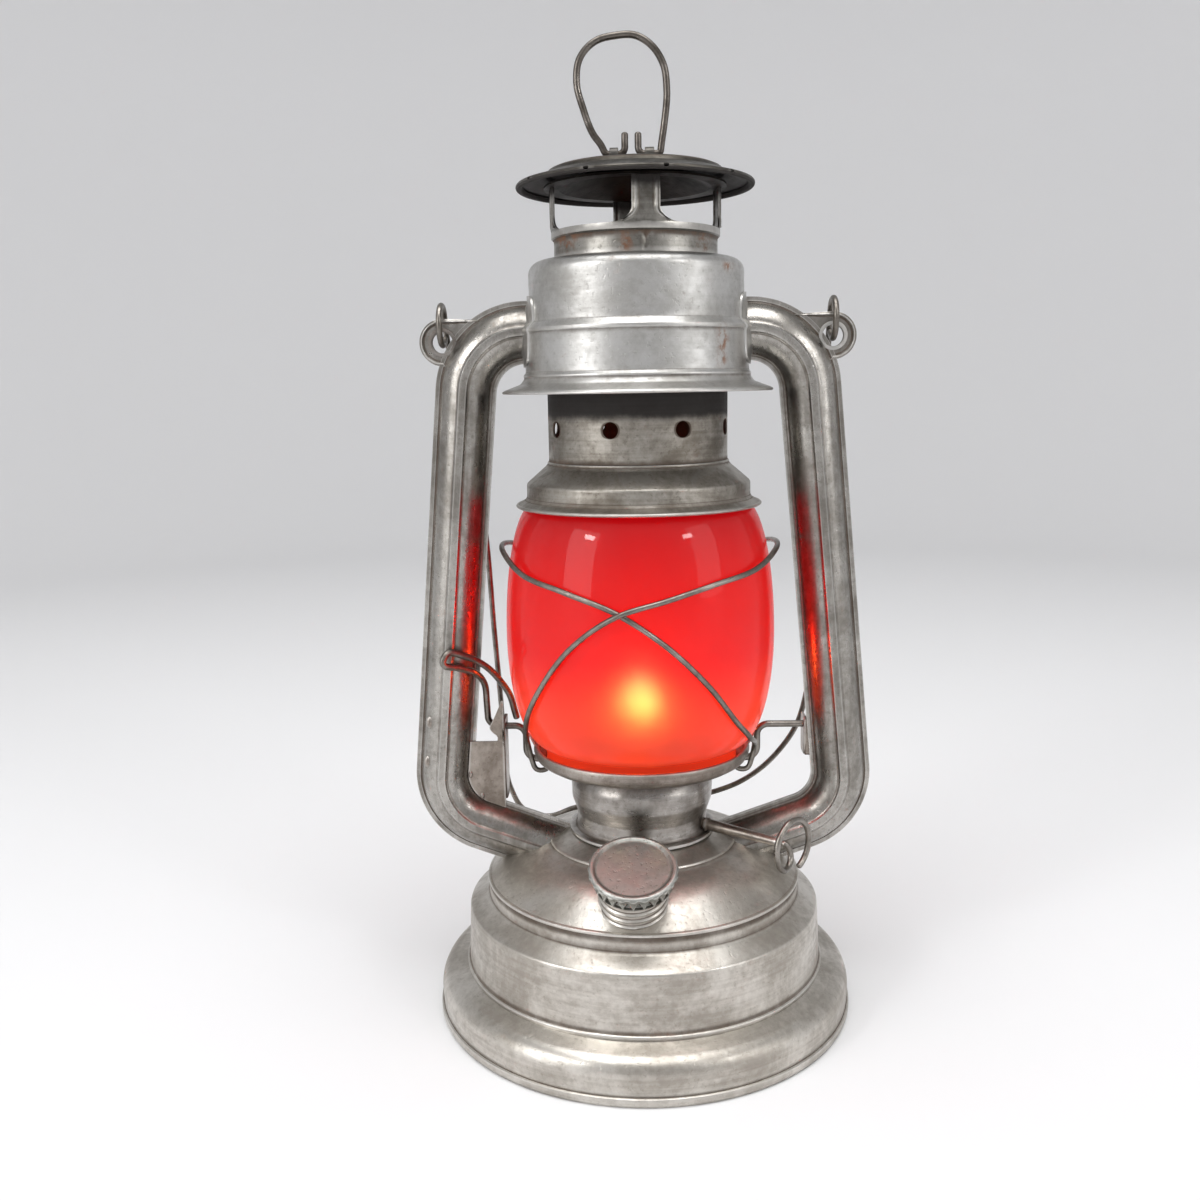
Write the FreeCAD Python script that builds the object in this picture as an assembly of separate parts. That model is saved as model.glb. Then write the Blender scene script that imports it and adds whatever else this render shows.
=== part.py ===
import FreeCAD, Part
import math
import os

# Hurricane lantern, in millimetres. The origin is the centre of the base's underside, Z is up,
# X is to the right and the filler cap faces -Y. Lists of points are (radius, height) for turned
# pieces and (x, height) for flat ones.

V = FreeCAD.Vector
ORIGIN = V(0, 0, 0)
ACROSS = V(1, 0, 0)
BACK = V(0, 1, 0)
UP = V(0, 0, 1)

# Stock and fits
SHEET = 0.6
STRIP = 0.8
GLASS_WALL = 2.2
SEAT = 0.05
RUN = 0.3
LEVER_WIRE = 2.2
BAIL_WIRE = 1.9
GUARD_WIRE = 1.7
RING_WIRE = 2.1
KNOB_WIRE = 1.9
SPRING_WIRE = 1.2

# Tank, from the ground up
FOOT_RADIUS = 68.4
RIM_HEIGHT = 3.1
RIM_WIDTH = 2.6
FLARE_HEIGHT = 12.9
FLARE_BULGE = 2.6
WALL_RADIUS = FOOT_RADIUS - 9.9
WALL_TAPER = 0.9
WALL_HEIGHT = 19.2
SHOULDER_HEIGHT = 4.3
STEP_RADIUS = WALL_RADIUS - 7.5
STEP_HEIGHT = 4.9
DOME_HEIGHT = 15.6
DOME_BULGE = 1.0
COLLAR_RADIUS = 20.65
COLLAR_LAND = 3.4
BOTTOM_HEIGHT = 13.0
BOTTOM_FLANGE = 4.0
BOTTOM_CORNER = 2.4
DECK_DROP = 1.6
DECK_RISE = 7.6
DECK_HOLE = 15.0

# Filler
FILLER_X = -2.8
FILLER_Y = 9.8 - STEP_RADIUS
FILLER_TILT = 22.0
FILLER_RAISE = 12.8
DOME_FALL = 0.5
FILLER_RADIUS = 10.0
FILLER_DEPTH = 13.0
FILLER_HEIGHT = 11.0
THREAD_PITCH = 2.57
THREAD_RISE = 0.6
THREAD_COUNT = 4
CAP_BORE_GAP = 0.45
CAP_SKIRT = 4.2
CAP_RIM_RADIUS = 13.3
CAP_RIM_HEIGHT = 1.5
CAP_RECESS = 0.5
CAP_NOTCHES = 24
NOTCH_DEPTH = 0.9
GASKET_THICKNESS = 0.5
GASKET_GAP = 0.03

# Collar, burner and wick
COLLAR_HEIGHT = 22.5
COLLAR_FOOT = 4.0
COLLAR_BULGE = 1.85
COLLAR_BULGE_HEIGHT = 8.5
COLLAR_BULGE_TOP = 16.0
COLLAR_MOUTH = 19.6
BURNER_RADIUS = 17.2
BURNER_HEIGHT = 31.5
CUP_RADIUS = 14.4
CUP_DEPTH = 6.0
GALLERY_HOLES = 12
GALLERY_HOLE = 3.0
CONE_RADIUS = 14.5
CONE_FOOT = 4.5
CONE_HEIGHT = 14.0
CONE_TOP_RADIUS = 9.5
WICK_WIDTH = 13.0
WICK_THICKNESS = 2.2
WICK_GAP = 0.4
WICK_LENGTH = 72.0
WICK_TUBE_WALL = 0.5
WICK_TUBE_HEIGHT = 50.0
WICK_SHOWS = 3.0
WHEEL_RADIUS = 4.3
WHEEL_BITE = 0.1
WHEEL_WIDTH = 1.2
WHEEL_SPACING = 7.0
WHEEL_TEETH = 12
SHAFT_HEIGHT = 2.5
SHAFT_AZIMUTH = -36.5
SHAFT_DIAMETER = 2.4
SLEEVE_DIAMETER = 3.8
SLEEVE_END = 2.8
SHAFT_REACH = 53.6
KNOB_RADIUS = 8.2
KNOB_NECK = 3.6

# Globe and its plate
PLATE_RADIUS = 34.2
PLATE_BEND = 2.6
PLATE_RIM = 4.5
PLATE_HOLE = 15.2
VENT_RADII = (18.2, 21.4, 24.6)
VENT_COUNT = 22
VENT_HOLE = 2.2
TAB_WIDTH = 9.0
TAB_HEIGHT = 5.2
TAB_GAP = 1.2
SKIRT_RADIUS = PLATE_RADIUS - 3.2
SKIRT_HEIGHT = 6.9
SKIRT_STEP = 1.5
GLASS_RADIUS = PLATE_RADIUS + 8.7
GLASS_LOWER = 35.0
GLASS_UPPER = 42.0
MOUTH_RADIUS = 33.2
MOUTH_HEIGHT = 6.6

# Globe guard: (turn from the high side in degrees, height over the plate's seat) in front,
# and the same behind
GUARD_GAP = 0.6
GUARD_STAND_OFF = 2.6
GUARD_LEFT_FRONT = (
    (14, 70.4), (36, 65.2), (60, 61.8), (82, 56.2), (98, 48.0), (116, 34.6), (134, 20.0), (148, 13.0),
)
GUARD_RIGHT_FRONT = (
    (14, 70.4), (36, 66.2), (60, 63.6), (80, 60.0), (98, 56.2), (116, 46.4), (134, 31.0), (150, 17.6),
)
GUARD_REAR = (
    (14, 70.4), (36, 66.4), (62, 60.0), (90, 48.4), (112, 33.6), (128, 20.6), (138, 13.6),
)
GUARD_CROSSING = 8
GUARD_CROSSING_LENGTH = 12
GUARD_FRONT_FOOT = -8.0
GUARD_REAR_FOOT = 20.0
GUARD_HOOK = 3.0

# Chimney, chamber and spring
CHIMNEY_WALL = 0.6
LIP_RADIUS = 38.2
LIP_DROP = 7.1
LIP_HEIGHT = 2.0
CHIMNEY_COLLAR = 35.1
CONE_RISE = 6.1
CHIMNEY_NECK = 27.95
CHIMNEY_NECK_HEIGHT = 25.0
CHIMNEY_TUBE = 24.2
CHIMNEY_TUBE_HEIGHT = 43.0
NECK_HOLES = 8
NECK_HOLE = 4.8
NECK_HOLE_HEIGHT = 10.9
NECK_HOLE_TURN = -16.7
SPRING_TURNS = 4
CHAMBER_OVERLAP = 2.8
CHAMBER_FLANGE = 41.6
CHAMBER_FLANGE_HEIGHT = 3.8
CHAMBER_BEAD = 0.8
CHAMBER_BEAD_HEIGHT = 2.0
CHAMBER_RADIUS = 34.35
CHAMBER_LOWER = 12.7
CHAMBER_STEP = 0.8
CHAMBER_UPPER_RADIUS = 32.9
CHAMBER_UPPER = 15.0
CHAMBER_ROUND = 4.5
CHAMBER_HOLE = 25.0

# Crown, hat and top ring
CROWN_BAND = 6.1
CROWN_STEP = 2.1
CROWN_STEP_OUT = 0.6
CROWN_POSTS = 4
CROWN_TURN = 7.0
POST_WIDTH = 6.5
POST_FOOT = 21.0
POST_FOOT_HEIGHT = 3.2
WINDOW_HEIGHT = 12.6
SLIT_WIDTH = 1.6
SLIT_HEIGHT = 4.6
BAFFLE_RADIUS = 27.6
BAFFLE_LAND = 8.0
HAT_RADIUS = 36.1
HAT_RIM = 1.6
HAT_RIM_RISE = 1.0
HAT_SLOPE_RADIUS = 26.8
HAT_SLOPE_RISE = 3.0
HAT_DOME_RADIUS = 23.6
HAT_DOME_RISE = 1.7
HAT_LAND_RADIUS = 10.6
HAT_LAND_RISE = 2.4
STRAP_WIDTH = 7.0
STRAP_LEFT = -9.0
STRAP_RIGHT = 7.6
EYE_GAP = 0.1
RIVET_RADIUS = 1.8
RIVET_HEAD = 0.9
PRONG_LEFT = -2.9
PRONG_RIGHT = 1.1
PRONG_HEIGHT = 5.6
RING_LEFT = (
    (-9.6, 0.0), (-12.4, 6.0), (-15.2, 13.2), (-17.0, 20.6), (-15.8, 27.6), (-11.6, 31.8), (-5.4, 33.4),
)
RING_RIGHT = ((0.6, 33.3), (5.6, 30.2), (8.7, 25.4), (9.8, 18.0), (9.0, 8.6), (8.0, 0.0))
RING_BEND = 2.0

# Air tubes: two pressed halves each
TUBE_RADIUS = 7.6
TUBE_SEAM = 1.9
TUBE_RIB_WIDTH = 3.0
TUBE_RIB_HEIGHT = 0.7
TUBE_TOP_BEND = 19.0
TUBE_LOW_BEND = 18.0
TUBE_LEAN = 5.35
TUBE_DIP = 20.0
TUBE_MOUTH = 18.2
TUBE_SHOULDER = PLATE_RADIUS + 0.3
TUBE_FOOT = 19.0
TUBE_LOW_RUN = 30.0
SADDLE_HALF_WIDTH = 12.6
SADDLE_HALF_HEIGHT = 10.6
EAR_X = TUBE_SHOULDER + TUBE_TOP_BEND + 6.7
EAR_DROP = 2.6
EAR_RADIUS = 7.2
EYELET_RADIUS = 3.2
EYELET_WALL = 0.5
EYELET_FLANGE = 4.5

# Bail, at rest behind the lantern: (x, height over the dome's foot) down one leg and up the other
BAIL_LOOP = 6.0
BAIL_LIFT = 5.2
BAIL_LEAN = 0.2
BAIL_MOUTH = 40.0
BAIL_LEFT = (
    (-56.4, 152.0), (-51.6, 112.0), (-50.6, 76.0), (-49.8, 50.0), (-49.4, 30.0), (-48.0, 14.0),
    (-43.0, 4.6), (-35.0, 2.2), (-25.0, 5.6),
)
BAIL_RIGHT = (
    (-2.0, 9.6), (25.0, 11.6), (36.0, 16.2), (43.0, 21.4), (50.0, 29.4), (55.0, 38.0), (58.4, 52.0),
    (60.0, 80.0), (60.4, 124.0),
)


# Lever, link and their brackets
PIVOT_Y = 4.0
CRANK_THROW = 11.4
CRANK_GAP = 0.4
BAR_INNER = PLATE_RADIUS - 7.2
BAR_OUTER = PLATE_RADIUS + 4.1
CRANK_BEND = 3.6
PIVOT_HOLE_GAP = 0.1
PLATE_EDGE = BAR_OUTER + 7.2
NOSE_OUT = 3.8
NOSE_FOOT = 1.7
NOSE_TIP = 9.8
NOTCH_IN = 1.0
NOTCH_DROP = 1.6
SHELF_DROP = 3.8
FLANGE_DEPTH = 8.0
FLANGE_ABOVE = 3.4
# The lever's loop: (back, up, out) from the pivot and the plane of its leg, then from the bracket
LEVER_LEG = (-2.6, 9.4)
LEVER_LOOP = (
    (-4.6, 15.4, 0.2), (-9.4, 20.6, 2.6), (-13.6, 23.2, 7.0), (-17.4, 26.0, 11.4), (-16.4, 28.0, 10.6),
    (-12.4, 26.6, 5.0), (-8.4, 22.6, -0.6), (-4.4, 16.4, -5.0),
)
LEVER_END = ((-1.6, 10.6, -2.5), (-0.4, 5.6, -3.6), (0.0, 3.0, -4.2))
HINGE_TAB_X = PLATE_RADIUS + 19.0
HINGE_TAB_HEIGHT = 13.0
LINK_END = HINGE_TAB_X + 3.0
RIVET_SIZE = 0.8


def profile(start, *steps):
    """A wire in the XZ plane: a step of two numbers is a line, of four an arc through the first two."""
    edges = []
    here = V(start[0], 0, start[1])
    for step in steps:
        there = V(step[-2], 0, step[-1])
        if len(step) == 4:
            edges.append(Part.Arc(here, V(step[0], 0, step[1]), there).toShape())
        else:
            edges.append(Part.makeLine(here, there))
        here = there
    return Part.Wire(edges)


def turned(face):
    return face.revolve(ORIGIN, UP, 360)


def left_copy(outline, distance):
    """A copy of an open outline moved to its left, seen with X right and Z up."""
    normals = []
    edges = outline.OrderedEdges
    for edge in edges:
        ends = (edge.FirstParameter, (edge.FirstParameter + edge.LastParameter) / 2, edge.LastParameter)
        tangents = [edge.tangentAt(parameter) for parameter in ends]
        normals.append([V(-tangent.z, 0, tangent.x) for tangent in tangents])
    corners = [edges[0].valueAt(edges[0].FirstParameter) + normals[0][0] * distance]
    for index, edge in enumerate(edges[:-1]):
        before = normals[index][2]
        after = normals[index + 1][0]
        corner = edge.valueAt(edge.LastParameter)
        corners.append(corner + (before + after) * (distance / (1 + before.dot(after))))
    corners.append(edges[-1].valueAt(edges[-1].LastParameter) + normals[-1][2] * distance)
    copies = []
    for edge, normal, start, end in zip(edges, normals, corners, corners[1:]):
        if isinstance(edge.Curve, Part.Line):
            copies.append(Part.makeLine(start, end))
        else:
            middle = edge.valueAt((edge.FirstParameter + edge.LastParameter) / 2)
            copies.append(Part.Arc(start, middle + normal[1] * distance, end).toShape())
    return copies, corners[0], corners[-1]


def thicken(outline, thickness):
    """The face between an open outline and its copy on the left."""
    copies, first, last = left_copy(outline, thickness)
    start = outline.OrderedVertexes[0].Point
    end = outline.OrderedVertexes[-1].Point
    edges = outline.Edges + copies + [Part.makeLine(start, first), Part.makeLine(end, last)]
    return Part.Face(Part.Wire(Part.__sortEdges__(edges)))


def sheet(outline, thickness=SHEET):
    return turned(thicken(outline, thickness))


def core(outline):
    """All that lies between an outline and the axis, as a solid."""
    low = outline.OrderedVertexes[0].Point
    high = outline.OrderedVertexes[-1].Point
    edges = list(outline.OrderedEdges)
    if high.x > 0:
        edges.append(Part.makeLine(high, V(0, 0, high.z)))
    edges.append(Part.makeLine(V(0, 0, high.z), V(0, 0, low.z)))
    edges.append(Part.makeLine(V(0, 0, low.z), low))
    return turned(Part.Face(Part.Wire(edges)))


def keep_out(outline):
    """The space that a turned piece takes, with its seat gap, for trimming what meets it."""
    return core(outline).fuse(sheet(outline, -SEAT))


def flat(points, start, depth):
    """A plate with its outline in the XZ plane, between two places along Y."""
    closing = () if points[-1][-2:] == points[0] else (points[0],)
    outline = profile(points[0], *points[1:], *closing)
    plate = Part.Face(outline).extrude(BACK * depth)
    return moved(plate, BACK * start)


def moved(shape, offset):
    copy = shape.copy()
    copy.translate(offset)
    return copy


def turned_copy(shape, degrees, centre=ORIGIN, axis=UP):
    copy = shape.copy()
    copy.rotate(centre, axis, degrees)
    return copy


def mirrored(shape):
    return shape.mirror(ORIGIN, ACROSS)


def box(x, y, z):
    return Part.makeBox(x[1] - x[0], y[1] - y[0], z[1] - z[0], V(x[0], y[0], z[0]))


def direction(degrees):
    return V(math.cos(math.radians(degrees)), math.sin(math.radians(degrees)), 0)


def arc_from(start, along, end):
    """The arc that leaves start along a direction and ends at end, or a line if that is straight."""
    chord = end - start
    unit = V(chord).normalize()
    side = along - unit * along.dot(unit)
    if side.Length < 1e-4:
        return Part.makeLine(start, end)
    half = math.atan2(side.Length, along.dot(unit)) / 2
    middle = (start + end) / 2 + V(side).normalize() * (chord.Length / 2 * math.tan(half))
    return Part.Arc(start, middle, end).toShape()


def biarcs(points, tangents):
    """Two tangent arcs between each pair of points."""
    edges = []
    for start, end, along, onward in zip(points, points[1:], tangents, tangents[1:]):
        chord = end - start
        spread = 2 * (1 - along.dot(onward))
        reach = chord.dot(along + onward)
        if spread < 1e-9:
            d = chord.dot(chord) / (2 * reach)
        else:
            d = (math.sqrt(reach * reach + 2 * spread * chord.dot(chord) / 2) - reach) / spread
        joint = (start + end + (along - onward) * d) / 2
        edges.append(arc_from(start, along, joint))
        edges.append(arc_from(joint, V(joint - (end - onward * d)).normalize() * -1, end))
    return Part.Wire(edges)


def through(points, leave=None, arrive=None):
    """A smooth wire through points, with the tangent at each from the circle through its neighbours."""
    tangents = []
    for before, here, after in zip(points, points[1:], points[2:]):
        back = here - before
        ahead = after - here
        tangents.append((back / back.dot(back) + ahead / ahead.dot(ahead)).normalize())
    first = V(points[1] - points[0]).normalize()
    last = V(points[-1] - points[-2]).normalize()
    tangents.insert(0, leave or first * (2 * first.dot(tangents[0])) - tangents[0])
    tangents.append(arrive or last * (2 * last.dot(tangents[-1])) - tangents[-1])
    return biarcs(points, tangents)


def bent(points, radius):
    """A wire of straight runs with an arc of one radius at each corner."""
    edges = []
    here = points[0]
    for before, corner, after in zip(points, points[1:], points[2:]):
        back = V(before - corner).normalize()
        ahead = V(after - corner).normalize()
        half = back.getAngle(ahead) / 2
        reach = radius / math.tan(half)
        middle = corner + V(back + ahead).normalize() * (radius / math.sin(half) - radius)
        start = corner + back * reach
        end = corner + ahead * reach
        edges.append(Part.makeLine(here, start))
        edges.append(Part.Arc(start, middle, end).toShape())
        here = end
    edges.append(Part.makeLine(here, points[-1]))
    return Part.Wire(edges)


def rod(path, diameter):
    first = path.OrderedEdges[0]
    start = path.OrderedVertexes[0].Point
    along = first.tangentAt(first.FirstParameter)
    circle = Part.Wire(Part.makeCircle(diameter / 2, start, along))
    return path.makePipeShell([circle], True, False)


def least_gap(name, path, diameter):
    """Prints the clear gap between turns of one wire, measured on points."""
    points = path.discretize(Distance=diameter / 2)
    apart = int(math.pi * 2)
    least = min(a.distanceToPoint(b) for i, a in enumerate(points) for b in points[i + apart:])
    print(name, "length", round(path.Length, 1), "least gap to itself", round(least - diameter, 2))


# Heights that follow from the sizes above
wall_foot = RIM_HEIGHT + FLARE_HEIGHT
wall_top = wall_foot + WALL_HEIGHT
step_foot = wall_top + SHOULDER_HEIGHT
dome_foot = step_foot + STEP_HEIGHT
dome_top = dome_foot + DOME_HEIGHT
plate_seat = dome_top + COLLAR_HEIGHT
glass_foot = plate_seat + SHEET
shelf = glass_foot + SKIRT_HEIGHT
belt = shelf + GLASS_LOWER
mouth_foot = belt + GLASS_UPPER
mouth_top = mouth_foot + MOUTH_HEIGHT
cone_slope = CONE_RISE / (CHIMNEY_COLLAR - CHIMNEY_NECK)
mouth_in_cone = (CHIMNEY_COLLAR - MOUTH_RADIUS) * cone_slope
collar_top = mouth_top + (RUN + CHIMNEY_WALL) * math.hypot(1, cone_slope) - mouth_in_cone
ledge = collar_top + CONE_RISE + CHIMNEY_NECK_HEIGHT
chamber_foot = ledge - CHAMBER_OVERLAP
chamber_wall = chamber_foot + CHAMBER_FLANGE_HEIGHT + CHAMBER_BEAD_HEIGHT
chamber_step = chamber_wall + CHAMBER_LOWER
chamber_shoulder = chamber_step + CHAMBER_STEP + CHAMBER_UPPER
chamber_top = chamber_shoulder + CHAMBER_ROUND
crown_foot = chamber_top + RUN
crown_step = crown_foot + CROWN_BAND
window_foot = crown_step + CROWN_STEP
post_top = window_foot + WINDOW_HEIGHT
hat_rim = post_top + HAT_RIM_RISE
hat_slope = hat_rim + HAT_SLOPE_RISE
hat_dome = hat_slope + HAT_DOME_RISE
hat_top = hat_dome + HAT_LAND_RISE
ring_pivot = hat_top + STRIP + EYE_GAP + RING_WIRE / 2
tube_mouth = chamber_foot + TUBE_MOUTH
tube_foot = dome_top + TUBE_FOOT
ear_height = tube_mouth - EAR_DROP
bail_pivot = ear_height + BAIL_LIFT
pivot_height = plate_seat - CRANK_GAP - LEVER_WIRE / 2 + CRANK_THROW
shaft_height = dome_top + SHAFT_HEIGHT
shaft_offset = WICK_THICKNESS / 2 + WHEEL_BITE + WHEEL_RADIUS
deck_rim = dome_foot - DECK_DROP
deck_top = deck_rim + DECK_RISE
burner_top = deck_top + BURNER_HEIGHT


def tank_outline():
    slope = V(WALL_RADIUS - FOOT_RADIUS, 0, FLARE_HEIGHT)
    out = V(FLARE_HEIGHT, 0, -slope.x).normalize() * FLARE_BULGE
    flare = V(FOOT_RADIUS - SHEET, 0, RIM_HEIGHT) + slope / 2 + out
    rise = V(COLLAR_RADIUS + SHEET - STEP_RADIUS, 0, DOME_HEIGHT)
    swell = V(DOME_HEIGHT, 0, -rise.x).normalize() * DOME_BULGE
    dome = V(STEP_RADIUS, 0, dome_foot) + rise / 2 + swell
    return profile(
        (FOOT_RADIUS - SHEET, RIM_HEIGHT - SHEET),
        (FOOT_RADIUS - SHEET, RIM_HEIGHT),
        (flare.x, flare.z, WALL_RADIUS, wall_foot),
        (WALL_RADIUS - WALL_TAPER, wall_top),
        (STEP_RADIUS, step_foot),
        (STEP_RADIUS, dome_foot),
        (dome.x, dome.z, COLLAR_RADIUS + SHEET, dome_top),
        (COLLAR_RADIUS - COLLAR_LAND, dome_top),
    )


def foot_rim():
    """The rolled edge that the tank stands on, flat underneath."""
    inner = FOOT_RADIUS - RIM_WIDTH
    middle = FOOT_RADIUS - RIM_WIDTH / 2
    return turned(Part.Face(profile(
        (inner + SHEET, 0),
        (FOOT_RADIUS - SHEET, 0),
        (FOOT_RADIUS, RIM_HEIGHT / 2, FOOT_RADIUS - SHEET, RIM_HEIGHT),
        (middle, RIM_HEIGHT + SHEET / 2, inner + SHEET, RIM_HEIGHT),
        (inner, RIM_HEIGHT / 2, inner + SHEET, 0),
    )))


filler_height = dome_top + FILLER_RAISE - math.hypot(FILLER_X, FILLER_Y) * DOME_FALL
filler_base = V(FILLER_X, FILLER_Y, filler_height)
filler_axis = V(0, -math.sin(math.radians(FILLER_TILT)), math.cos(math.radians(FILLER_TILT)))


def on_filler(shape):
    """Moves a piece made on the Z axis to the filler."""
    return moved(turned_copy(shape, FILLER_TILT, ORIGIN, ACROSS), filler_base)


def filler_space():
    radius = FILLER_RADIUS + SEAT
    return on_filler(Part.makeCylinder(radius, FILLER_DEPTH * 2, V(0, 0, -FILLER_DEPTH)))


def tank_shell():
    shell = sheet(tank_outline()).fuse(foot_rim())
    shell = shell.cut([filler_space(), bore(), mirrored(bore())])
    return shell.removeSplitter()


def tank_bottom():
    """The floor of the tank, with a raised bead and a flange up inside the wall."""
    lower = WALL_RADIUS - SHEET - SEAT
    upper = lower - WALL_TAPER * BOTTOM_FLANGE / WALL_HEIGHT
    bead = WALL_RADIUS * 0.7
    rise = SHEET * 2
    return sheet(profile(
        (0, BOTTOM_HEIGHT),
        (bead - rise * 2, BOTTOM_HEIGHT),
        (bead, BOTTOM_HEIGHT + rise, bead + rise * 2, BOTTOM_HEIGHT),
        (lower - BOTTOM_CORNER, BOTTOM_HEIGHT),
        (lower, wall_foot + SHEET),
        (upper, wall_foot + SHEET + BOTTOM_FLANGE),
    ))


def air_deck():
    """The partition that keeps the air under the dome apart from the fuel."""
    rim = STEP_RADIUS - SHEET - SEAT
    deck = sheet(profile(
        (rim, step_foot + SHEET),
        (rim, deck_rim),
        (BURNER_RADIUS + SHEET * 3, deck_top - SHEET),
        (DECK_HOLE, deck_top - SHEET),
    ))
    return deck.cut(filler_space())


def filler_neck():
    ridge = THREAD_PITCH * 0.3
    steps = []
    for index in range(THREAD_COUNT):
        middle = FILLER_HEIGHT - THREAD_PITCH * (THREAD_COUNT - index - 0.5)
        steps.append((FILLER_RADIUS, middle - ridge))
        steps.append((FILLER_RADIUS + THREAD_RISE, middle, FILLER_RADIUS, middle + ridge))
    top = (FILLER_RADIUS, FILLER_HEIGHT)
    return on_filler(sheet(profile((FILLER_RADIUS, -FILLER_DEPTH), *steps, top)))


def filler_gasket():
    inner = FILLER_RADIUS - SHEET
    outer = FILLER_RADIUS + THREAD_RISE
    foot = V(0, 0, FILLER_HEIGHT + GASKET_GAP)
    ring = Part.makeCylinder(outer, GASKET_THICKNESS, foot)
    return on_filler(ring.cut(Part.makeCylinder(inner, GASKET_THICKNESS, foot)))


def filler_cap():
    """A recessed disc, a rolled rim and a skirt with triangular notches under the rim."""
    bore_radius = FILLER_RADIUS + THREAD_RISE + CAP_BORE_GAP
    under = FILLER_HEIGHT + GASKET_THICKNESS + GASKET_GAP * 2
    disc = under + SHEET
    rim = disc + CAP_RECESS
    foot = under - CAP_SKIRT
    skirt = bore_radius + SHEET
    cap = turned(Part.Face(profile(
        (0, under),
        (bore_radius, under),
        (bore_radius, foot),
        (skirt, foot),
        (CAP_RIM_RADIUS - SHEET, rim - CAP_RIM_HEIGHT),
        (CAP_RIM_RADIUS, rim - CAP_RIM_HEIGHT / 2, CAP_RIM_RADIUS - SHEET, rim),
        (skirt, rim),
        (skirt, disc),
        (0, disc),
        (0, under),
    )))
    half = math.radians(180 / CAP_NOTCHES) * CAP_RIM_RADIUS * 0.8
    notch = Part.Face(Part.makePolygon([
        V(skirt + CAP_RIM_RADIUS, -half, foot - SHEET),
        V(skirt + CAP_RIM_RADIUS, half, foot - SHEET),
        V(skirt + CAP_RIM_RADIUS, 0, rim - CAP_RIM_HEIGHT),
        V(skirt + CAP_RIM_RADIUS, -half, foot - SHEET),
    ])).extrude(ACROSS * -(CAP_RIM_RADIUS + SHEET - 0.2))
    notches = [turned_copy(notch, 360 * i / CAP_NOTCHES) for i in range(CAP_NOTCHES)]
    return on_filler(cap.cut(notches))


def burner_collar():
    """The air neck on the tank, with a slot for the wick shaft."""
    bulge = COLLAR_RADIUS + COLLAR_BULGE
    middle = (COLLAR_BULGE_HEIGHT + COLLAR_BULGE_TOP) / 2
    collar = sheet(profile(
        (COLLAR_RADIUS, dome_top),
        (COLLAR_RADIUS, dome_top + COLLAR_FOOT),
        (bulge, dome_top + COLLAR_BULGE_HEIGHT),
        (bulge + SHEET / 2, dome_top + middle, bulge, dome_top + COLLAR_BULGE_TOP),
        (COLLAR_RADIUS + SHEET, plate_seat - SHEET, COLLAR_MOUTH + SHEET, plate_seat - SEAT),
        (COLLAR_MOUTH - SHEET, plate_seat - SEAT),
    ))
    half = SLEEVE_DIAMETER / 2 + RUN
    slot = box((0, COLLAR_RADIUS * 2), (-half, half), (dome_top - RUN, shaft_height))
    slot = slot.fuse(Part.makeCylinder(half, COLLAR_RADIUS * 2, V(0, 0, shaft_height), ACROSS))
    return collar.cut(on_shaft(slot))


def on_shaft(shape):
    """Moves a piece made along X, at its height, to the line of the wick shaft."""
    return turned_copy(moved(shape, BACK * shaft_offset), SHAFT_AZIMUTH)


def burner_body():
    """The drum that hangs the wick tube in the tank, with gallery holes for air."""
    body = sheet(profile(
        (WICK_WIDTH / 2, deck_top - CUP_DEPTH),
        (CUP_RADIUS, deck_top - CUP_DEPTH),
        (CUP_RADIUS, deck_top),
        (BURNER_RADIUS, deck_top),
        (BURNER_RADIUS, burner_top - SHEET * 4),
        (CONE_RADIUS, burner_top),
        (CONE_RADIUS - SHEET * 3, burner_top),
    ))
    floor = Part.makeCylinder(WICK_WIDTH / 2, SHEET, V(0, 0, deck_top - CUP_DEPTH))
    hole = Part.makeCylinder(GALLERY_HOLE / 2, BURNER_RADIUS * 2, V(0, 0, burner_top - SHEET * 9), ACROSS)
    holes = [turned_copy(hole, 360 * i / GALLERY_HOLES) for i in range(GALLERY_HOLES)]
    start = V(-BURNER_RADIUS, 0, shaft_height)
    shaft_hole = Part.makeCylinder(SLEEVE_DIAMETER / 2 + RUN, BURNER_RADIUS * 3, start, ACROSS)
    body = body.fuse(floor).cut(holes + [on_shaft(shaft_hole), on_shaft(wick_tube_block(SEAT))])
    return body.removeSplitter()


wick_tube_foot = deck_top - CUP_DEPTH - SHEET


def wick_tube_block(gap):
    """The outside of the wick tube, grown by a gap, before it is moved to the shaft's line."""
    half_width = WICK_WIDTH / 2 + WICK_GAP + WICK_TUBE_WALL + gap
    half_depth = WICK_THICKNESS / 2 + WICK_GAP + WICK_TUBE_WALL + gap
    heights = (wick_tube_foot - gap, wick_tube_foot + WICK_TUBE_HEIGHT + gap)
    return box((-half_width, half_width), (-half_depth - shaft_offset, half_depth - shaft_offset), heights)


def wick_tube():
    """A flat tube with windows where the wheels reach the wick."""
    half_width = WICK_WIDTH / 2 + WICK_GAP
    half_depth = WICK_THICKNESS / 2 + WICK_GAP
    heights = (wick_tube_foot, wick_tube_foot + WICK_TUBE_HEIGHT)
    inside = box((-half_width, half_width), (-half_depth - shaft_offset, half_depth - shaft_offset), heights)
    tube = wick_tube_block(0).cut(inside)
    half_window = (WHEEL_SPACING + WHEEL_WIDTH) / 2 + RUN
    reach = WHEEL_RADIUS + RUN
    window = box((-half_window, half_window), (-shaft_offset, 0), (shaft_height - reach, shaft_height + reach))
    return on_shaft(tube.cut(window))


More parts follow.
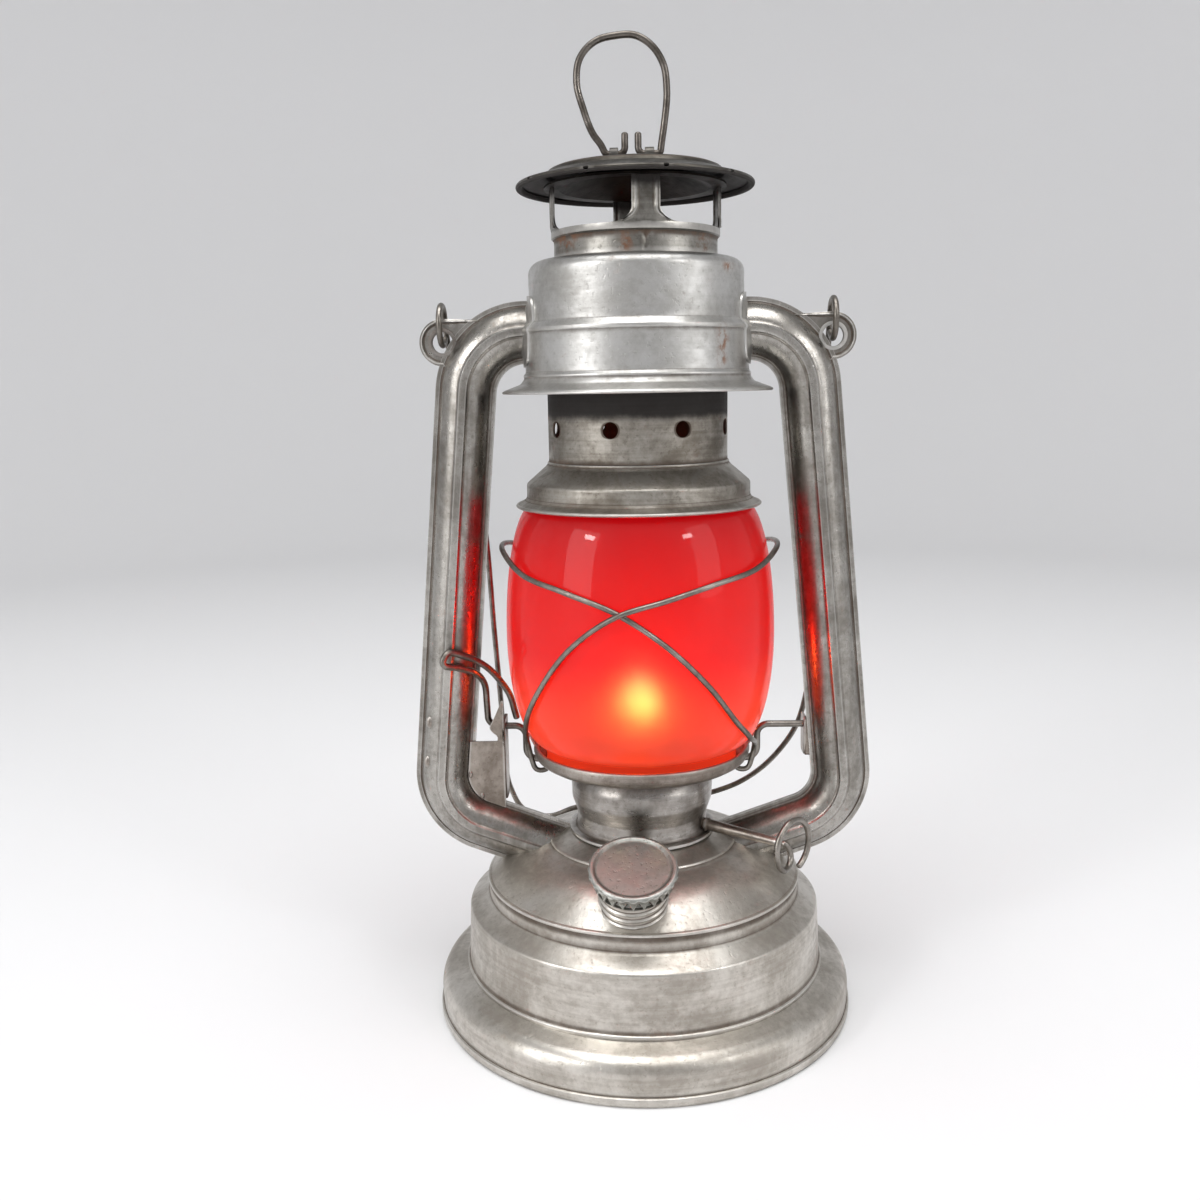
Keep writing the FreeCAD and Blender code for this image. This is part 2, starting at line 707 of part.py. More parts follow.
def wick():
    half_width = WICK_WIDTH / 2
    half_depth = WICK_THICKNESS / 2
    top = wick_tube_foot + WICK_TUBE_HEIGHT + WICK_SHOWS
    return on_shaft(box(
        (-half_width, half_width),
        (-half_depth - shaft_offset, half_depth - shaft_offset),
        (top - WICK_LENGTH, top),
    ))


def burner_cone():
    """The cone over the wick, with a slot for the flame."""
    foot = burner_top + SEAT
    shoulder = foot + CONE_HEIGHT
    crest = CONE_TOP_RADIUS * 0.3
    cone = sheet(profile(
        (CONE_RADIUS, foot),
        (CONE_RADIUS, foot + CONE_FOOT),
        (CONE_RADIUS - SHEET * 2, foot + CONE_HEIGHT * 0.75, CONE_TOP_RADIUS, shoulder),
        (CONE_TOP_RADIUS / 2, shoulder + crest * 0.8, 0, shoulder + crest),
    ))
    half_width = WICK_WIDTH / 2 + WICK_TUBE_WALL * 3
    half_depth = WICK_THICKNESS / 2 + WICK_TUBE_WALL * 2
    slot = box(
        (-half_width, half_width),
        (-half_depth - shaft_offset, half_depth - shaft_offset),
        (foot + CONE_FOOT, foot + CONE_HEIGHT * 2),
    )
    return cone.cut(on_shaft(slot))


def along_shaft(outline):
    """Turns an outline of (radius, distance) about the shaft's line."""
    turned_about = Part.Face(outline).revolve(ORIGIN, UP, 360)
    laid = turned_copy(turned_about, 90, ORIGIN, BACK)
    return on_shaft(moved(laid, UP * shaft_height))


shaft_end = SHAFT_REACH - KNOB_NECK


def wick_shaft():
    """The wick shaft, with a tapered sleeve between the collar and the knob."""
    start = -WHEEL_SPACING / 2 - WHEEL_WIDTH * 1.5
    sleeve = BURNER_RADIUS - SHEET * 5
    return along_shaft(profile(
        (0, start),
        (SHAFT_DIAMETER / 2, start),
        (SHAFT_DIAMETER / 2, sleeve),
        (SLEEVE_DIAMETER / 2, sleeve),
        (SLEEVE_DIAMETER / 2, COLLAR_RADIUS + SHEET),
        (SLEEVE_END / 2, shaft_end),
        (0, shaft_end),
        (0, start),
    ))


def wick_wheels():
    """Two spiked wheels that drive the wick."""
    points = []
    for index in range(WHEEL_TEETH * 2):
        radius = WHEEL_RADIUS - (index % 2) * WHEEL_RADIUS / 3
        angle = math.pi * index / WHEEL_TEETH
        points.append(V(0, radius * math.cos(angle), radius * math.sin(angle)))
    points.append(points[0])
    wheel = Part.Face(Part.makePolygon(points)).extrude(ACROSS * WHEEL_WIDTH)
    hole = Part.makeCylinder(SHAFT_DIAMETER / 2 + SEAT, WHEEL_WIDTH, ORIGIN, ACROSS)
    wheel = moved(wheel.cut(hole), V(-WHEEL_WIDTH / 2, 0, shaft_height))
    apart = ACROSS * (WHEEL_SPACING / 2)
    return Part.makeCompound([on_shaft(moved(wheel, apart * side)) for side in (-1, 1)])


def wick_knob():
    """One wire from the shaft's end: a small curl, then a ring of most of a turn."""
    curl = ((0.12, -0.16, -0.27), (0.2, -0.5, -0.2), (-0.16, -0.86, -0.12))
    points = [V(-KNOB_NECK, 0, 0), V(-KNOB_NECK * 0.75, 0, 0)]
    points += [V(x, y, z) * KNOB_RADIUS for y, z, x in curl]
    for step in range(8):
        angle = math.radians(228 - 42 * step)
        points.append(V(0.0, math.cos(angle), math.sin(angle)) * KNOB_RADIUS)
    path = through(points, ACROSS)
    least_gap("wick_knob", path, KNOB_WIRE)
    return on_shaft(moved(rod(path, KNOB_WIRE), V(SHAFT_REACH, 0, shaft_height)))


def globe_plate():
    """The dished plate under the globe, with vents and two upright tabs."""
    bend = PLATE_BEND
    plate = sheet(profile(
        (PLATE_HOLE, plate_seat),
        (PLATE_RADIUS - bend, plate_seat),
        (PLATE_RADIUS - bend * 0.3, plate_seat + bend * 0.3, PLATE_RADIUS, plate_seat + bend),
        (PLATE_RADIUS, plate_seat + PLATE_RIM),
    ))
    lip = Part.makeTorus(PLATE_RADIUS - SHEET / 2, SHEET, V(0, 0, plate_seat + PLATE_RIM))
    vent = Part.makeCylinder(VENT_HOLE / 2, SHEET * 3, V(0, 0, plate_seat - SHEET))
    vents = []
    for radius in VENT_RADII:
        for index in range(VENT_COUNT):
            vents.append(moved(vent, direction(360 * index / VENT_COUNT) * radius))
    rim = plate_seat + PLATE_RIM
    tip = rim + TAB_HEIGHT
    tabs = sheet(profile(
        (PLATE_RADIUS, rim - SHEET),
        (glass_radius_at(tip) + TAB_GAP, tip),
    ))
    wide = PLATE_RADIUS * 2
    half = TAB_WIDTH / 2
    keep = Part.makeCylinder(half, wide * 2, V(-wide, 0, tip - half), ACROSS)
    keep = keep.fuse(box((-wide, wide), (-half, half), (plate_seat, tip - half)))
    return plate.cut(vents).fuse([lip, tabs.common(keep)]).removeSplitter()


def quarter(centre, side, end):
    """A quarter of an upright ellipse, between its side and its end."""
    ellipse = Part.Ellipse(V(centre[0], 0, end), V(side, 0, centre[1]), V(centre[0], 0, centre[1]))
    return ellipse.toShape(0, math.pi / 2)


def globe_side(inset):
    """The globe's outline from the shelf over the skirt up to the mouth, moved in by the wall."""
    low = SKIRT_RADIUS + SKIRT_STEP - inset
    high = MOUTH_RADIUS - inset
    side = GLASS_RADIUS - inset
    return low, high, [
        quarter((low, belt), side, shelf + inset),
        quarter((high, belt), side, mouth_foot),
        Part.makeLine(V(high, 0, mouth_foot), V(high, 0, mouth_top)),
    ]


def globe():
    out_low, out_high, outside = globe_side(0)
    in_low, in_high, inside = globe_side(GLASS_WALL)
    bore_radius = SKIRT_RADIUS - GLASS_WALL
    corners = [
        V(in_low, 0, shelf + GLASS_WALL),
        V(bore_radius, 0, shelf),
        V(bore_radius, 0, glass_foot),
        V(SKIRT_RADIUS, 0, glass_foot),
        V(SKIRT_RADIUS, 0, shelf - SKIRT_STEP / 2),
        V(out_low, 0, shelf),
    ]
    edges = [Part.makeLine(a, b) for a, b in zip(corners, corners[1:])]
    edges += outside + inside
    edges.append(Part.makeLine(V(out_high, 0, mouth_top), V(in_high, 0, mouth_top)))
    return turned(Part.Face(Part.Wire(Part.__sortEdges__(edges))))


def glass_radius_at(height):
    """The outside of the globe at a height."""
    if height < belt:
        start = SKIRT_RADIUS + SKIRT_STEP
        share = min(1, (belt - height) / GLASS_LOWER)
    else:
        start = MOUTH_RADIUS
        share = min(1, (height - belt) / GLASS_UPPER)
    return start + (GLASS_RADIUS - start) * math.sqrt(1 - share * share)


def guard_point(azimuth, turn, rise, extra):
    """A point on the guard: its place round the globe, its height and its stand-off."""
    height = plate_seat + rise
    side_bow = GUARD_STAND_OFF * max(0, 1 - turn / 40)
    radius = glass_radius_at(height) + GUARD_GAP + GUARD_WIRE / 2 + side_bow + extra
    return direction(azimuth) * radius + UP * height


def guard_foot(side, y):
    """The hook that grips the plate's rim: outside, under and in."""
    radius = PLATE_RADIUS + SHEET + GUARD_GAP + GUARD_WIRE / 2
    under = plate_seat - GUARD_WIRE / 2 - GUARD_GAP
    azimuth = math.asin(y / radius)
    out = V(side * math.cos(azimuth), math.sin(azimuth), 0)
    return [
        out * (radius + 0.6) + UP * (plate_seat + PLATE_RIM),
        out * radius + UP * (plate_seat + PLATE_RIM * 0.4),
        out * (radius - 1.6) + UP * under,
        out * (radius - 1.6 - GUARD_HOOK) + UP * under,
    ]


def guard_wire(side, front, over):
    """One guard loop: high on one side of the globe, with its feet at the plate's other side."""
    def azimuth(turn, half):
        return half * turn if side > 0 else 180 - half * turn

    def bump(turn, middle, height):
        return height * math.exp(-((turn - middle) / GUARD_CROSSING_LENGTH) ** 2)

    points = list(reversed(guard_foot(-side, GUARD_FRONT_FOOT)))
    for turn, rise in reversed(front):
        extra = bump(turn, 90 + side * GUARD_CROSSING, over)
        points.append(guard_point(azimuth(turn, -1), turn, rise, extra))
    for turn, rise in GUARD_REAR:
        extra = bump(turn, 90, GUARD_WIRE + GUARD_GAP - over)
        points.append(guard_point(azimuth(turn, 1), turn, rise, extra))
    points += guard_foot(-side, GUARD_REAR_FOOT)
    return rod(through(points), GUARD_WIRE)


def chimney_tube():
    """Lip, collar, cone, perforated neck, ledge and the tube that carries the crown."""
    outline = profile(
        (LIP_RADIUS, mouth_top - LIP_DROP),
        (CHIMNEY_COLLAR, mouth_top - LIP_DROP + LIP_HEIGHT),
        (CHIMNEY_COLLAR, collar_top),
        (CHIMNEY_NECK, collar_top + CONE_RISE),
        (CHIMNEY_NECK, ledge),
        (CHIMNEY_TUBE, ledge),
        (CHIMNEY_TUBE, ledge + CHIMNEY_TUBE_HEIGHT),
    )
    tube = sheet(outline, CHIMNEY_WALL)
    height = collar_top + CONE_RISE + NECK_HOLE_HEIGHT
    hole = Part.makeCylinder(NECK_HOLE / 2, CHIMNEY_NECK * 2, V(0, 0, height), ACROSS)
    step = 360 / NECK_HOLES
    holes = [turned_copy(hole, NECK_HOLE_TURN - 90 + step * i) for i in range(NECK_HOLES)]
    lip = Part.makeTorus(LIP_RADIUS, CHIMNEY_WALL, V(0, 0, mouth_top - LIP_DROP))
    return tube.fuse(lip).cut(holes).removeSplitter()


def chimney_spring():
    """A coil between the chimney's ledge and the top of the chamber."""
    radius = CHIMNEY_NECK - SPRING_WIRE / 2 - SEAT
    low = ledge + SPRING_WIRE / 2 + SEAT
    high = chamber_top - SHEET - SPRING_WIRE / 2 - SEAT
    rise = (high - low) / (SPRING_TURNS * 2 * math.pi)
    points = []
    tangents = []
    for quarter_turn in range(SPRING_TURNS * 4 + 1):
        angle = quarter_turn * math.pi / 2
        points.append(V(radius * math.cos(angle), radius * math.sin(angle), low + rise * angle))
        tangents.append(V(-radius * math.sin(angle), radius * math.cos(angle), rise).normalize())
    path = biarcs(points, tangents)
    least_gap("chimney_spring", path, SPRING_WIRE)
    return rod(path, SPRING_WIRE)


def chamber_outline():
    bead = chamber_foot + CHAMBER_FLANGE_HEIGHT
    corner = CHAMBER_ROUND * 0.3
    top_radius = CHAMBER_UPPER_RADIUS - CHAMBER_ROUND
    return profile(
        (CHAMBER_FLANGE, chamber_foot),
        (CHAMBER_RADIUS, bead),
        (CHAMBER_RADIUS + CHAMBER_BEAD, bead + CHAMBER_BEAD_HEIGHT / 2),
        (CHAMBER_RADIUS, chamber_wall),
        (CHAMBER_RADIUS, chamber_step),
        (CHAMBER_UPPER_RADIUS, chamber_step + CHAMBER_STEP),
        (CHAMBER_UPPER_RADIUS, chamber_shoulder),
        (CHAMBER_UPPER_RADIUS - corner, chamber_top - corner, top_radius, chamber_top),
        (CHAMBER_HOLE, chamber_top),
    )


def chamber_between(low, high):
    """The part of the chamber between two heights, with the tubes' mouths."""
    band = Part.makeCylinder(CHAMBER_FLANGE + SHEET, high - low, V(0, 0, low))
    return sheet(chamber_outline()).common(band).cut([bore(), mirrored(bore())]).removeSplitter()


def air_chamber():
    """The lower drum of the chamber, with its flange, up to the seam."""
    return chamber_between(chamber_foot - SHEET, chamber_step)


def chamber_hood():
    """The upper drum of the chamber, with its round shoulder."""
    return chamber_between(chamber_step, chamber_top)


def crown():
    """A stepped band on the chimney tube, with posts and windows under the hat."""
    inner = CHIMNEY_TUBE + SEAT
    outer = inner + SHEET
    upper = outer + CROWN_STEP_OUT
    band = Part.Face(profile(
        (inner, crown_foot),
        (outer, crown_foot),
        (outer, crown_step),
        (upper, crown_step + SHEET / 2),
        (upper, window_foot),
        (upper - SHEET, window_foot),
        (upper - SHEET, crown_step + SHEET),
        (inner, crown_step + SHEET),
        (inner, crown_foot),
    ))
    wall = Part.Face(profile(
        (upper, window_foot),
        (upper, post_top),
        (upper - SHEET, post_top),
        (upper - SHEET, window_foot),
        (upper, window_foot),
    ))
    half = POST_WIDTH / 2
    foot = POST_FOOT / 2
    rise = POST_FOOT_HEIGHT
    in_x = (foot - half) * 0.25 + half
    outline = flat((
        (-foot, window_foot),
        (foot, window_foot),
        (in_x, window_foot + rise * 0.3, half, window_foot + rise),
        (half, post_top),
        (-half, post_top),
        (-half, window_foot + rise),
        (-in_x, window_foot + rise * 0.3, -foot, window_foot),
    ), 0, -upper * 2)
    ring = turned(wall)
    step = 360 / CROWN_POSTS
    posts = [ring.common(turned_copy(outline, CROWN_TURN + step * i)) for i in range(CROWN_POSTS)]
    slit = flat((
        (-SLIT_WIDTH / 2, crown_step),
        (0, crown_step - SLIT_HEIGHT),
        (SLIT_WIDTH / 2, crown_step),
    ), 0, -upper * 2)
    return turned(band).fuse(posts).cut(turned_copy(slit, CROWN_TURN)).removeSplitter()


def hat():
    """The rain hat: a rolled rim, a slope and a raised dome with a flat middle."""
    middle = (HAT_SLOPE_RADIUS + HAT_DOME_RADIUS) / 2
    outline = profile(
        (HAT_RADIUS - HAT_RIM / 2, hat_rim),
        (HAT_SLOPE_RADIUS, hat_slope),
        (middle + SHEET / 2, hat_slope + HAT_DOME_RISE / 2 - SHEET / 2, HAT_DOME_RADIUS, hat_dome),
        (HAT_LAND_RADIUS, hat_top),
        (0, hat_top),
    )
    rim = Part.makeTorus(HAT_RADIUS - HAT_RIM / 2, HAT_RIM / 2, V(0, 0, hat_rim - HAT_RIM / 2 + SHEET / 2))
    hole = Part.makeCylinder(RIVET_RADIUS / 2, SHEET * 4, V(strap_middle, 0, hat_top - SHEET * 2))
    return sheet(outline).fuse(rim).cut(hole).removeSplitter()


strap_middle = (PRONG_LEFT + PRONG_RIGHT) / 2


def hat_baffle():
    """The plate that joins the posts to the hat."""
    underside = hat_top - SHEET
    baffle = sheet(profile(
        (BAFFLE_RADIUS, post_top),
        (CHIMNEY_TUBE - SHEET * 2, post_top),
        (BAFFLE_LAND + SHEET, underside - SHEET),
        (0, underside - SHEET),
    ), -SHEET)
    hole = Part.makeCylinder(RIVET_RADIUS / 2, SHEET * 4, V(strap_middle, 0, underside - SHEET * 2))
    return baffle.cut(hole)


def ring_strap():
    """A strap with an eye rolled up at each end for the top ring's feet."""
    inner = RING_WIRE / 2 + EYE_GAP
    outer = inner + STRIP
    bend = RING_BEND + EYE_GAP
    left = (RING_LEFT[0][0] + bend, PRONG_LEFT - bend + EYE_GAP)
    right = (PRONG_RIGHT + bend - EYE_GAP, RING_RIGHT[-1][0] - bend)
    strap = box((left[0], right[1]), (-STRAP_WIDTH / 2, STRAP_WIDTH / 2), (hat_top, hat_top + STRIP))
    for start, end in (left, right):
        foot = V(start, 0, ring_pivot)
        eye = Part.makeCylinder(outer, end - start, foot, ACROSS)
        strap = strap.fuse(eye.cut(box((start, end), (-outer, outer), (hat_top - STRIP * 2, hat_top))))
        strap = strap.cut(Part.makeCylinder(inner, end - start, foot, ACROSS))
    hole = Part.makeCylinder(RIVET_RADIUS / 2, STRIP, V(strap_middle, 0, hat_top))
    return strap.cut(hole).removeSplitter()


def strap_rivet():
    """The rivet through the strap, the hat and the baffle, with a low head at each end."""
    shank = RIVET_RADIUS / 2 - SEAT
    top = hat_top + STRIP
    low = hat_top - SHEET * 2
    rivet = Part.makeCylinder(shank, top - low, V(strap_middle, 0, low))
    head = Part.makeCylinder(RIVET_RADIUS, RIVET_HEAD / 2, V(strap_middle, 0, top))
    tail = Part.makeCylinder(RIVET_RADIUS, RIVET_HEAD, V(strap_middle, 0, low - RIVET_HEAD))
    return rivet.fuse([head, tail]).removeSplitter()


def top_ring():
    """One wire: a prong, a foot in its eye, the ring, the other foot and the other prong."""
    def at(x, z):
        return V(x, 0, ring_pivot + z)

    left_x = RING_LEFT[0][0]
    right_x = RING_RIGHT[-1][0]
    loop = [at(x, z) for x, z in RING_LEFT[1:] + RING_RIGHT[:-1]]
    loop = [at(left_x, RING_BEND), *loop, at(right_x, RING_BEND)]
    rise = V(RING_LEFT[1][0] - left_x, 0, RING_LEFT[1][1]).normalize()
    fall = V(right_x - RING_RIGHT[-2][0], 0, -RING_RIGHT[-2][1]).normalize()
    left_foot = at(left_x + RING_BEND, 0)
    right_foot = at(right_x - RING_BEND, 0)
    left_prong = bent([at(PRONG_LEFT, PRONG_HEIGHT), at(PRONG_LEFT, 0), left_foot], RING_BEND)
    right_prong = bent([right_foot, at(PRONG_RIGHT, 0), at(PRONG_RIGHT, PRONG_HEIGHT)], RING_BEND)
    path = Part.Wire(
        left_prong.Edges
        + biarcs([left_foot, loop[0]], [ACROSS * -1, rise]).Edges
        + through(loop, rise, fall).Edges
        + biarcs([loop[-1], right_foot], [fall, ACROSS * -1]).Edges
        + right_prong.Edges
    )
    return rod(path, RING_WIRE)


lean = math.radians(TUBE_LEAN)
dip = math.radians(TUBE_DIP)
top_bend = V(TUBE_SHOULDER, 0, tube_mouth - TUBE_TOP_BEND)
leg_start = top_bend + V(math.cos(lean), 0, math.sin(lean)) * TUBE_TOP_BEND
leg_run = V(math.sin(lean), 0, -math.cos(lean)) * ((leg_start.z - tube_foot) / math.cos(lean))
leg_end = leg_start + leg_run
low_bend = leg_end - V(math.cos(lean), 0, math.sin(lean)) * TUBE_LOW_BEND
low_run = V(-math.cos(dip), 0, -math.sin(dip)) * TUBE_LOW_RUN


def swept(face):
    """Carries a face, drawn across the mouth, along the right tube's line."""
    pieces = []

    def straight(run):
        nonlocal face
        pieces.append(face.extrude(run))
        face = moved(face, run)

    def turn(centre, degrees):
        nonlocal face
        pieces.append(face.revolve(centre, BACK, degrees))
        face = turned_copy(face, degrees, centre, BACK)

    straight(ACROSS * TUBE_SHOULDER / 4)
    turn(top_bend, 90 - TUBE_LEAN)
    straight(leg_run)
    turn(low_bend, 90 + TUBE_LEAN - TUBE_DIP)
    straight(low_run)
    return pieces[0].fuse(pieces[1:]).removeSplitter()


def tube_section(radius):
    """The pressed half: seam flanges, a half round body and a rib, in the plane across the mouth."""
    x = TUBE_SHOULDER * 0.75
    seam = TUBE_RADIUS + TUBE_SEAM
    side = math.sqrt(radius * radius - SHEET * SHEET)
    rib = TUBE_RIB_WIDTH / 2
    rib_foot = math.sqrt(radius * radius - rib * rib)
    inner = radius - SHEET

    def at(across, depth):
        return V(x, -depth, tube_mouth + across)

    def half_arc(start, end):
        middle_angle = (math.atan2(start[1], start[0]) + math.atan2(end[1], end[0])) / 2
        middle = (radius * math.cos(middle_angle), radius * math.sin(middle_angle))
        return Part.Arc(at(*start), at(*middle), at(*end)).toShape()

    return Part.Face(Part.Wire([
        Part.makeLine(at(inner, 0), at(seam, 0)),
        Part.makeLine(at(seam, 0), at(seam, SHEET)),
        Part.makeLine(at(seam, SHEET), at(side, SHEET)),
        half_arc((side, SHEET), (rib, rib_foot)),
        Part.Arc(at(rib, rib_foot), at(0, radius + TUBE_RIB_HEIGHT), at(-rib, rib_foot)).toShape(),
        half_arc((-rib, rib_foot), (-side, SHEET)),
        Part.makeLine(at(-side, SHEET), at(-seam, SHEET)),
        Part.makeLine(at(-seam, SHEET), at(-seam, 0)),
        Part.makeLine(at(-seam, 0), at(-inner, 0)),
        Part.Arc(at(-inner, 0), at(0, inner), at(inner, 0)).toShape(),
    ]))


shapes = {}


def once(name, make):
    """Makes a shape that several pieces need only one time."""
    if name not in shapes:
        shapes[name] = make()
    return shapes[name]


def round_bar(radius):
    """A round bar along the right tube's line."""
    start = V(TUBE_SHOULDER * 0.75, 0, tube_mouth)
    return swept(Part.Face(Part.Wire(Part.makeCircle(radius, start, ACROSS))))


def bore():
    return once("bore", lambda: round_bar(TUBE_RADIUS - SHEET))


def tube_body():
    return once("body", lambda: round_bar(TUBE_RADIUS + SEAT))


def trims():
    return once("trims", lambda: [keep_out(chamber_outline()), keep_out(tank_outline())])


def ear_plate():
    """The ear for the bail, part of the seam flange of the front half."""
    radius = EAR_RADIUS
    edge = TUBE_SHOULDER + TUBE_TOP_BEND
    plate = flat((
        (edge - radius, ear_height + radius - SHEET),
        (EAR_X, ear_height + radius),
        (EAR_X + radius, ear_height, EAR_X, ear_height - radius),
        (EAR_X - radius / 2, ear_height - radius * 1.5),
        (edge, ear_height - radius),
    ), -SHEET, SHEET)
    return plate.cut(swept_inside())


def swept_inside():
    return once("inside", lambda: round_bar(TUBE_RADIUS - SHEET / 2))


def tube_right_front():
    def make():
        hole_radius = EYELET_RADIUS + EYELET_WALL + SEAT
        hole = Part.makeCylinder(hole_radius, SHEET * 2, V(EAR_X, -SHEET * 1.5, ear_height), BACK)
        half = swept(tube_section(TUBE_RADIUS)).fuse(ear_plate()).cut(trims() + [hole])
        solids = sorted(half.Solids, key=lambda solid: solid.Volume)
        return solids[-1].removeSplitter()

    return once("right front", make)


def tube_right_rear():
    return tube_right_front().mirror(ORIGIN, BACK)


def mouth_collar():
    """The saddle flange round the right tube where it enters the chamber."""
    outline = profile(
        (CHAMBER_RADIUS, chamber_wall),
        (CHAMBER_RADIUS, chamber_step),
        (CHAMBER_UPPER_RADIUS, chamber_step + CHAMBER_STEP),
        (CHAMBER_UPPER_RADIUS, chamber_shoulder),
    )
    skin = turned(thicken(outline, -SEAT - SHEET).cut(thicken(outline, -SEAT)))

    def window(width, height):
        return box((0, CHAMBER_FLANGE), (-width, width), (tube_mouth - height, tube_mouth + height))

    keep = window(SADDLE_HALF_WIDTH, SADDLE_HALF_HEIGHT)
    seam = window(SHEET + SEAT, SADDLE_HALF_HEIGHT + SHEET)
    rib_gap = window(TUBE_RADIUS + TUBE_RIB_HEIGHT + SEAT, TUBE_RIB_WIDTH * 0.6)
    return skin.common(keep).cut([tube_body(), seam, rib_gap]).removeSplitter()


def ear_eyelets():
    """Turned eyelets in both ears, trimmed where the tube swells beside them."""
    inner = EYELET_RADIUS
    wall = inner + EYELET_WALL
    depth = SHEET + EYELET_WALL
    eyelet = Part.Face(profile(
        (inner, -depth),
        (EYELET_FLANGE, -depth),
        (EYELET_FLANGE, -SHEET),
        (wall, -SHEET),
        (wall, SHEET),
        (EYELET_FLANGE, SHEET),
        (EYELET_FLANGE, depth),
        (inner, depth),
        (inner, -depth),
    )).revolve(ORIGIN, UP, 360)
    eyelet = moved(turned_copy(eyelet, 90, ORIGIN, ACROSS), V(EAR_X, 0, ear_height))
    eyelet = eyelet.cut(tube_body())
    return Part.makeCompound([eyelet, mirrored(eyelet)])


def bail():
    """One wire: a loop in each ear, and a bow that hangs behind, a little uneven."""
    def hanging(x, height):
        z = dome_foot + height
        return V(x, BAIL_LOOP + BAIL_LEAN * (bail_pivot - z), z)

    def loop(side):
        """From the wire's end over the top and through the ear to the back of the loop."""
        points = []
        start = 90 + BAIL_MOUTH
        for step in range(8):
            angle = math.radians(start + (360 - BAIL_MOUTH) * step / 7)
            height = bail_pivot + BAIL_LOOP * math.cos(angle)
            points.append(V(side * EAR_X, BAIL_LOOP * math.sin(angle), height))
        return points

    legs = [hanging(x, height) for x, height in BAIL_LEFT + BAIL_RIGHT]
    left = loop(-1)
    right = loop(1)
    right.reverse()
    path = through(left + legs + right)
    least_gap("bail", path, BAIL_WIRE)
    return rod(path, BAIL_WIRE)


def yz_turn(y, z, x):
    return V(x, PIVOT_Y + y, pivot_height + z)


def leg_x(height):
    """Where the right tube's line is at a height on its straight leg."""
    return leg_end.x - (height - leg_end.z) * math.tan(lean)


plate_front = -SHEET - STRIP
nose_x = PLATE_EDGE + NOSE_OUT


def pivot_hole(x):
    start = V(x - STRIP * 2, PIVOT_Y, pivot_height)
    return Part.makeCylinder(LEVER_WIRE / 2 + PIVOT_HOLE_GAP, STRIP * 4, start, ACROSS)


def lever_bracket():
    """The notched plate on the left tube's seam, with a flange bent back for the pivot."""
    notch_z = pivot_height - NOTCH_DROP
    shelf_z = pivot_height - SHELF_DROP
    clear = TUBE_RADIUS + SEAT * 4
    reach = TUBE_LOW_BEND - clear
    body_edge = leg_x(shelf_z) - clear / math.cos(lean)

    def on_bend(angle):
        return low_bend + V(math.cos(angle), 0, math.sin(angle)) * reach

    start = on_bend(lean)
    middle = on_bend((lean + dip) / 2 - math.pi / 4)
    end = on_bend(dip - math.pi / 2)
    foot_z = end.z - (end.x - PLATE_EDGE) * math.tan(dip)
    outline = (
        (PLATE_EDGE, foot_z),
        (PLATE_EDGE, pivot_height + NOSE_TIP),
        (nose_x, pivot_height + NOSE_FOOT),
        (nose_x - NOTCH_IN, notch_z),
        (nose_x - NOTCH_IN, shelf_z),
        (body_edge, shelf_z),
        (start.x, start.z),
        (middle.x, middle.z, end.x, end.z),
    )
    plate = flat(outline, plate_front, STRIP)
    flange = box(
        (PLATE_EDGE - STRIP, PLATE_EDGE),
        (plate_front, FLANGE_DEPTH),
        (foot_z + (TUBE_SEAM + RUN) / math.cos(dip), pivot_height + FLANGE_ABOVE),
    )
    return mirrored(plate.fuse(flange).cut(pivot_hole(PLATE_EDGE)).removeSplitter())


def hinge_bracket():
    """A small angle on the right tube's seam, with the hole for the link."""
    middle = pivot_height - HINGE_TAB_HEIGHT / 4
    heights = (middle - HINGE_TAB_HEIGHT / 2, middle + HINGE_TAB_HEIGHT / 2)
    body_edge = leg_x(heights[1]) - (TUBE_RADIUS + SEAT * 2) / math.cos(lean)
    base = box((HINGE_TAB_X, body_edge), (SHEET, SHEET + STRIP), heights)
    tab = box((HINGE_TAB_X, HINGE_TAB_X + STRIP), (SHEET, FLANGE_DEPTH), heights)
    return base.fuse(tab).cut(pivot_hole(HINGE_TAB_X)).removeSplitter()


def bracket_rivets():
    """Low round heads that hold the lever's bracket to the seam."""
    rivets = []
    for angle in (0, 52):
        out = V(-math.cos(math.radians(angle)), 0, -math.sin(math.radians(angle)))
        centre = V(-low_bend.x, plate_front, low_bend.z)
        reach = TUBE_LOW_BEND - TUBE_RADIUS - TUBE_SEAM / 2
        ball = Part.makeSphere(RIVET_SIZE, centre + out * reach)
        behind = box((-FOOT_RADIUS, 0), (plate_front, FLANGE_DEPTH), (0, plate_seat))
        rivets.append(ball.cut(behind))
    return Part.makeCompound(rivets)


def crank():
    """The crank's corners from the bar under the plate to the pivot, on the right side."""
    return [
        yz_turn(0, -CRANK_THROW, BAR_INNER),
        yz_turn(0, -CRANK_THROW, BAR_OUTER),
        yz_turn(0, 0, BAR_OUTER),
    ]


def lift_lever():
    """One wire: the crank, the pivot, the outer leg, the thumb loop and the inner leg."""
    finger = nose_x + RUN + LEVER_WIRE / 2
    corners = crank() + [yz_turn(0, 0, finger), yz_turn(*LEVER_LEG, finger)]
    lower = bent(corners, CRANK_BEND)
    end = lower.OrderedEdges[-1]
    points = [(y, z, finger + out) for y, z, out in LEVER_LOOP]
    points += [(y, z, PLATE_EDGE + out) for y, z, out in LEVER_END]
    start = end.valueAt(end.LastParameter)
    leave = end.tangentAt(end.LastParameter)
    upper = through([start] + [yz_turn(*point) for point in points], leave)
    path = Part.Wire(lower.Edges + upper.Edges)
    least_gap("lift_lever", path, LEVER_WIRE)
    return mirrored(rod(path, LEVER_WIRE))


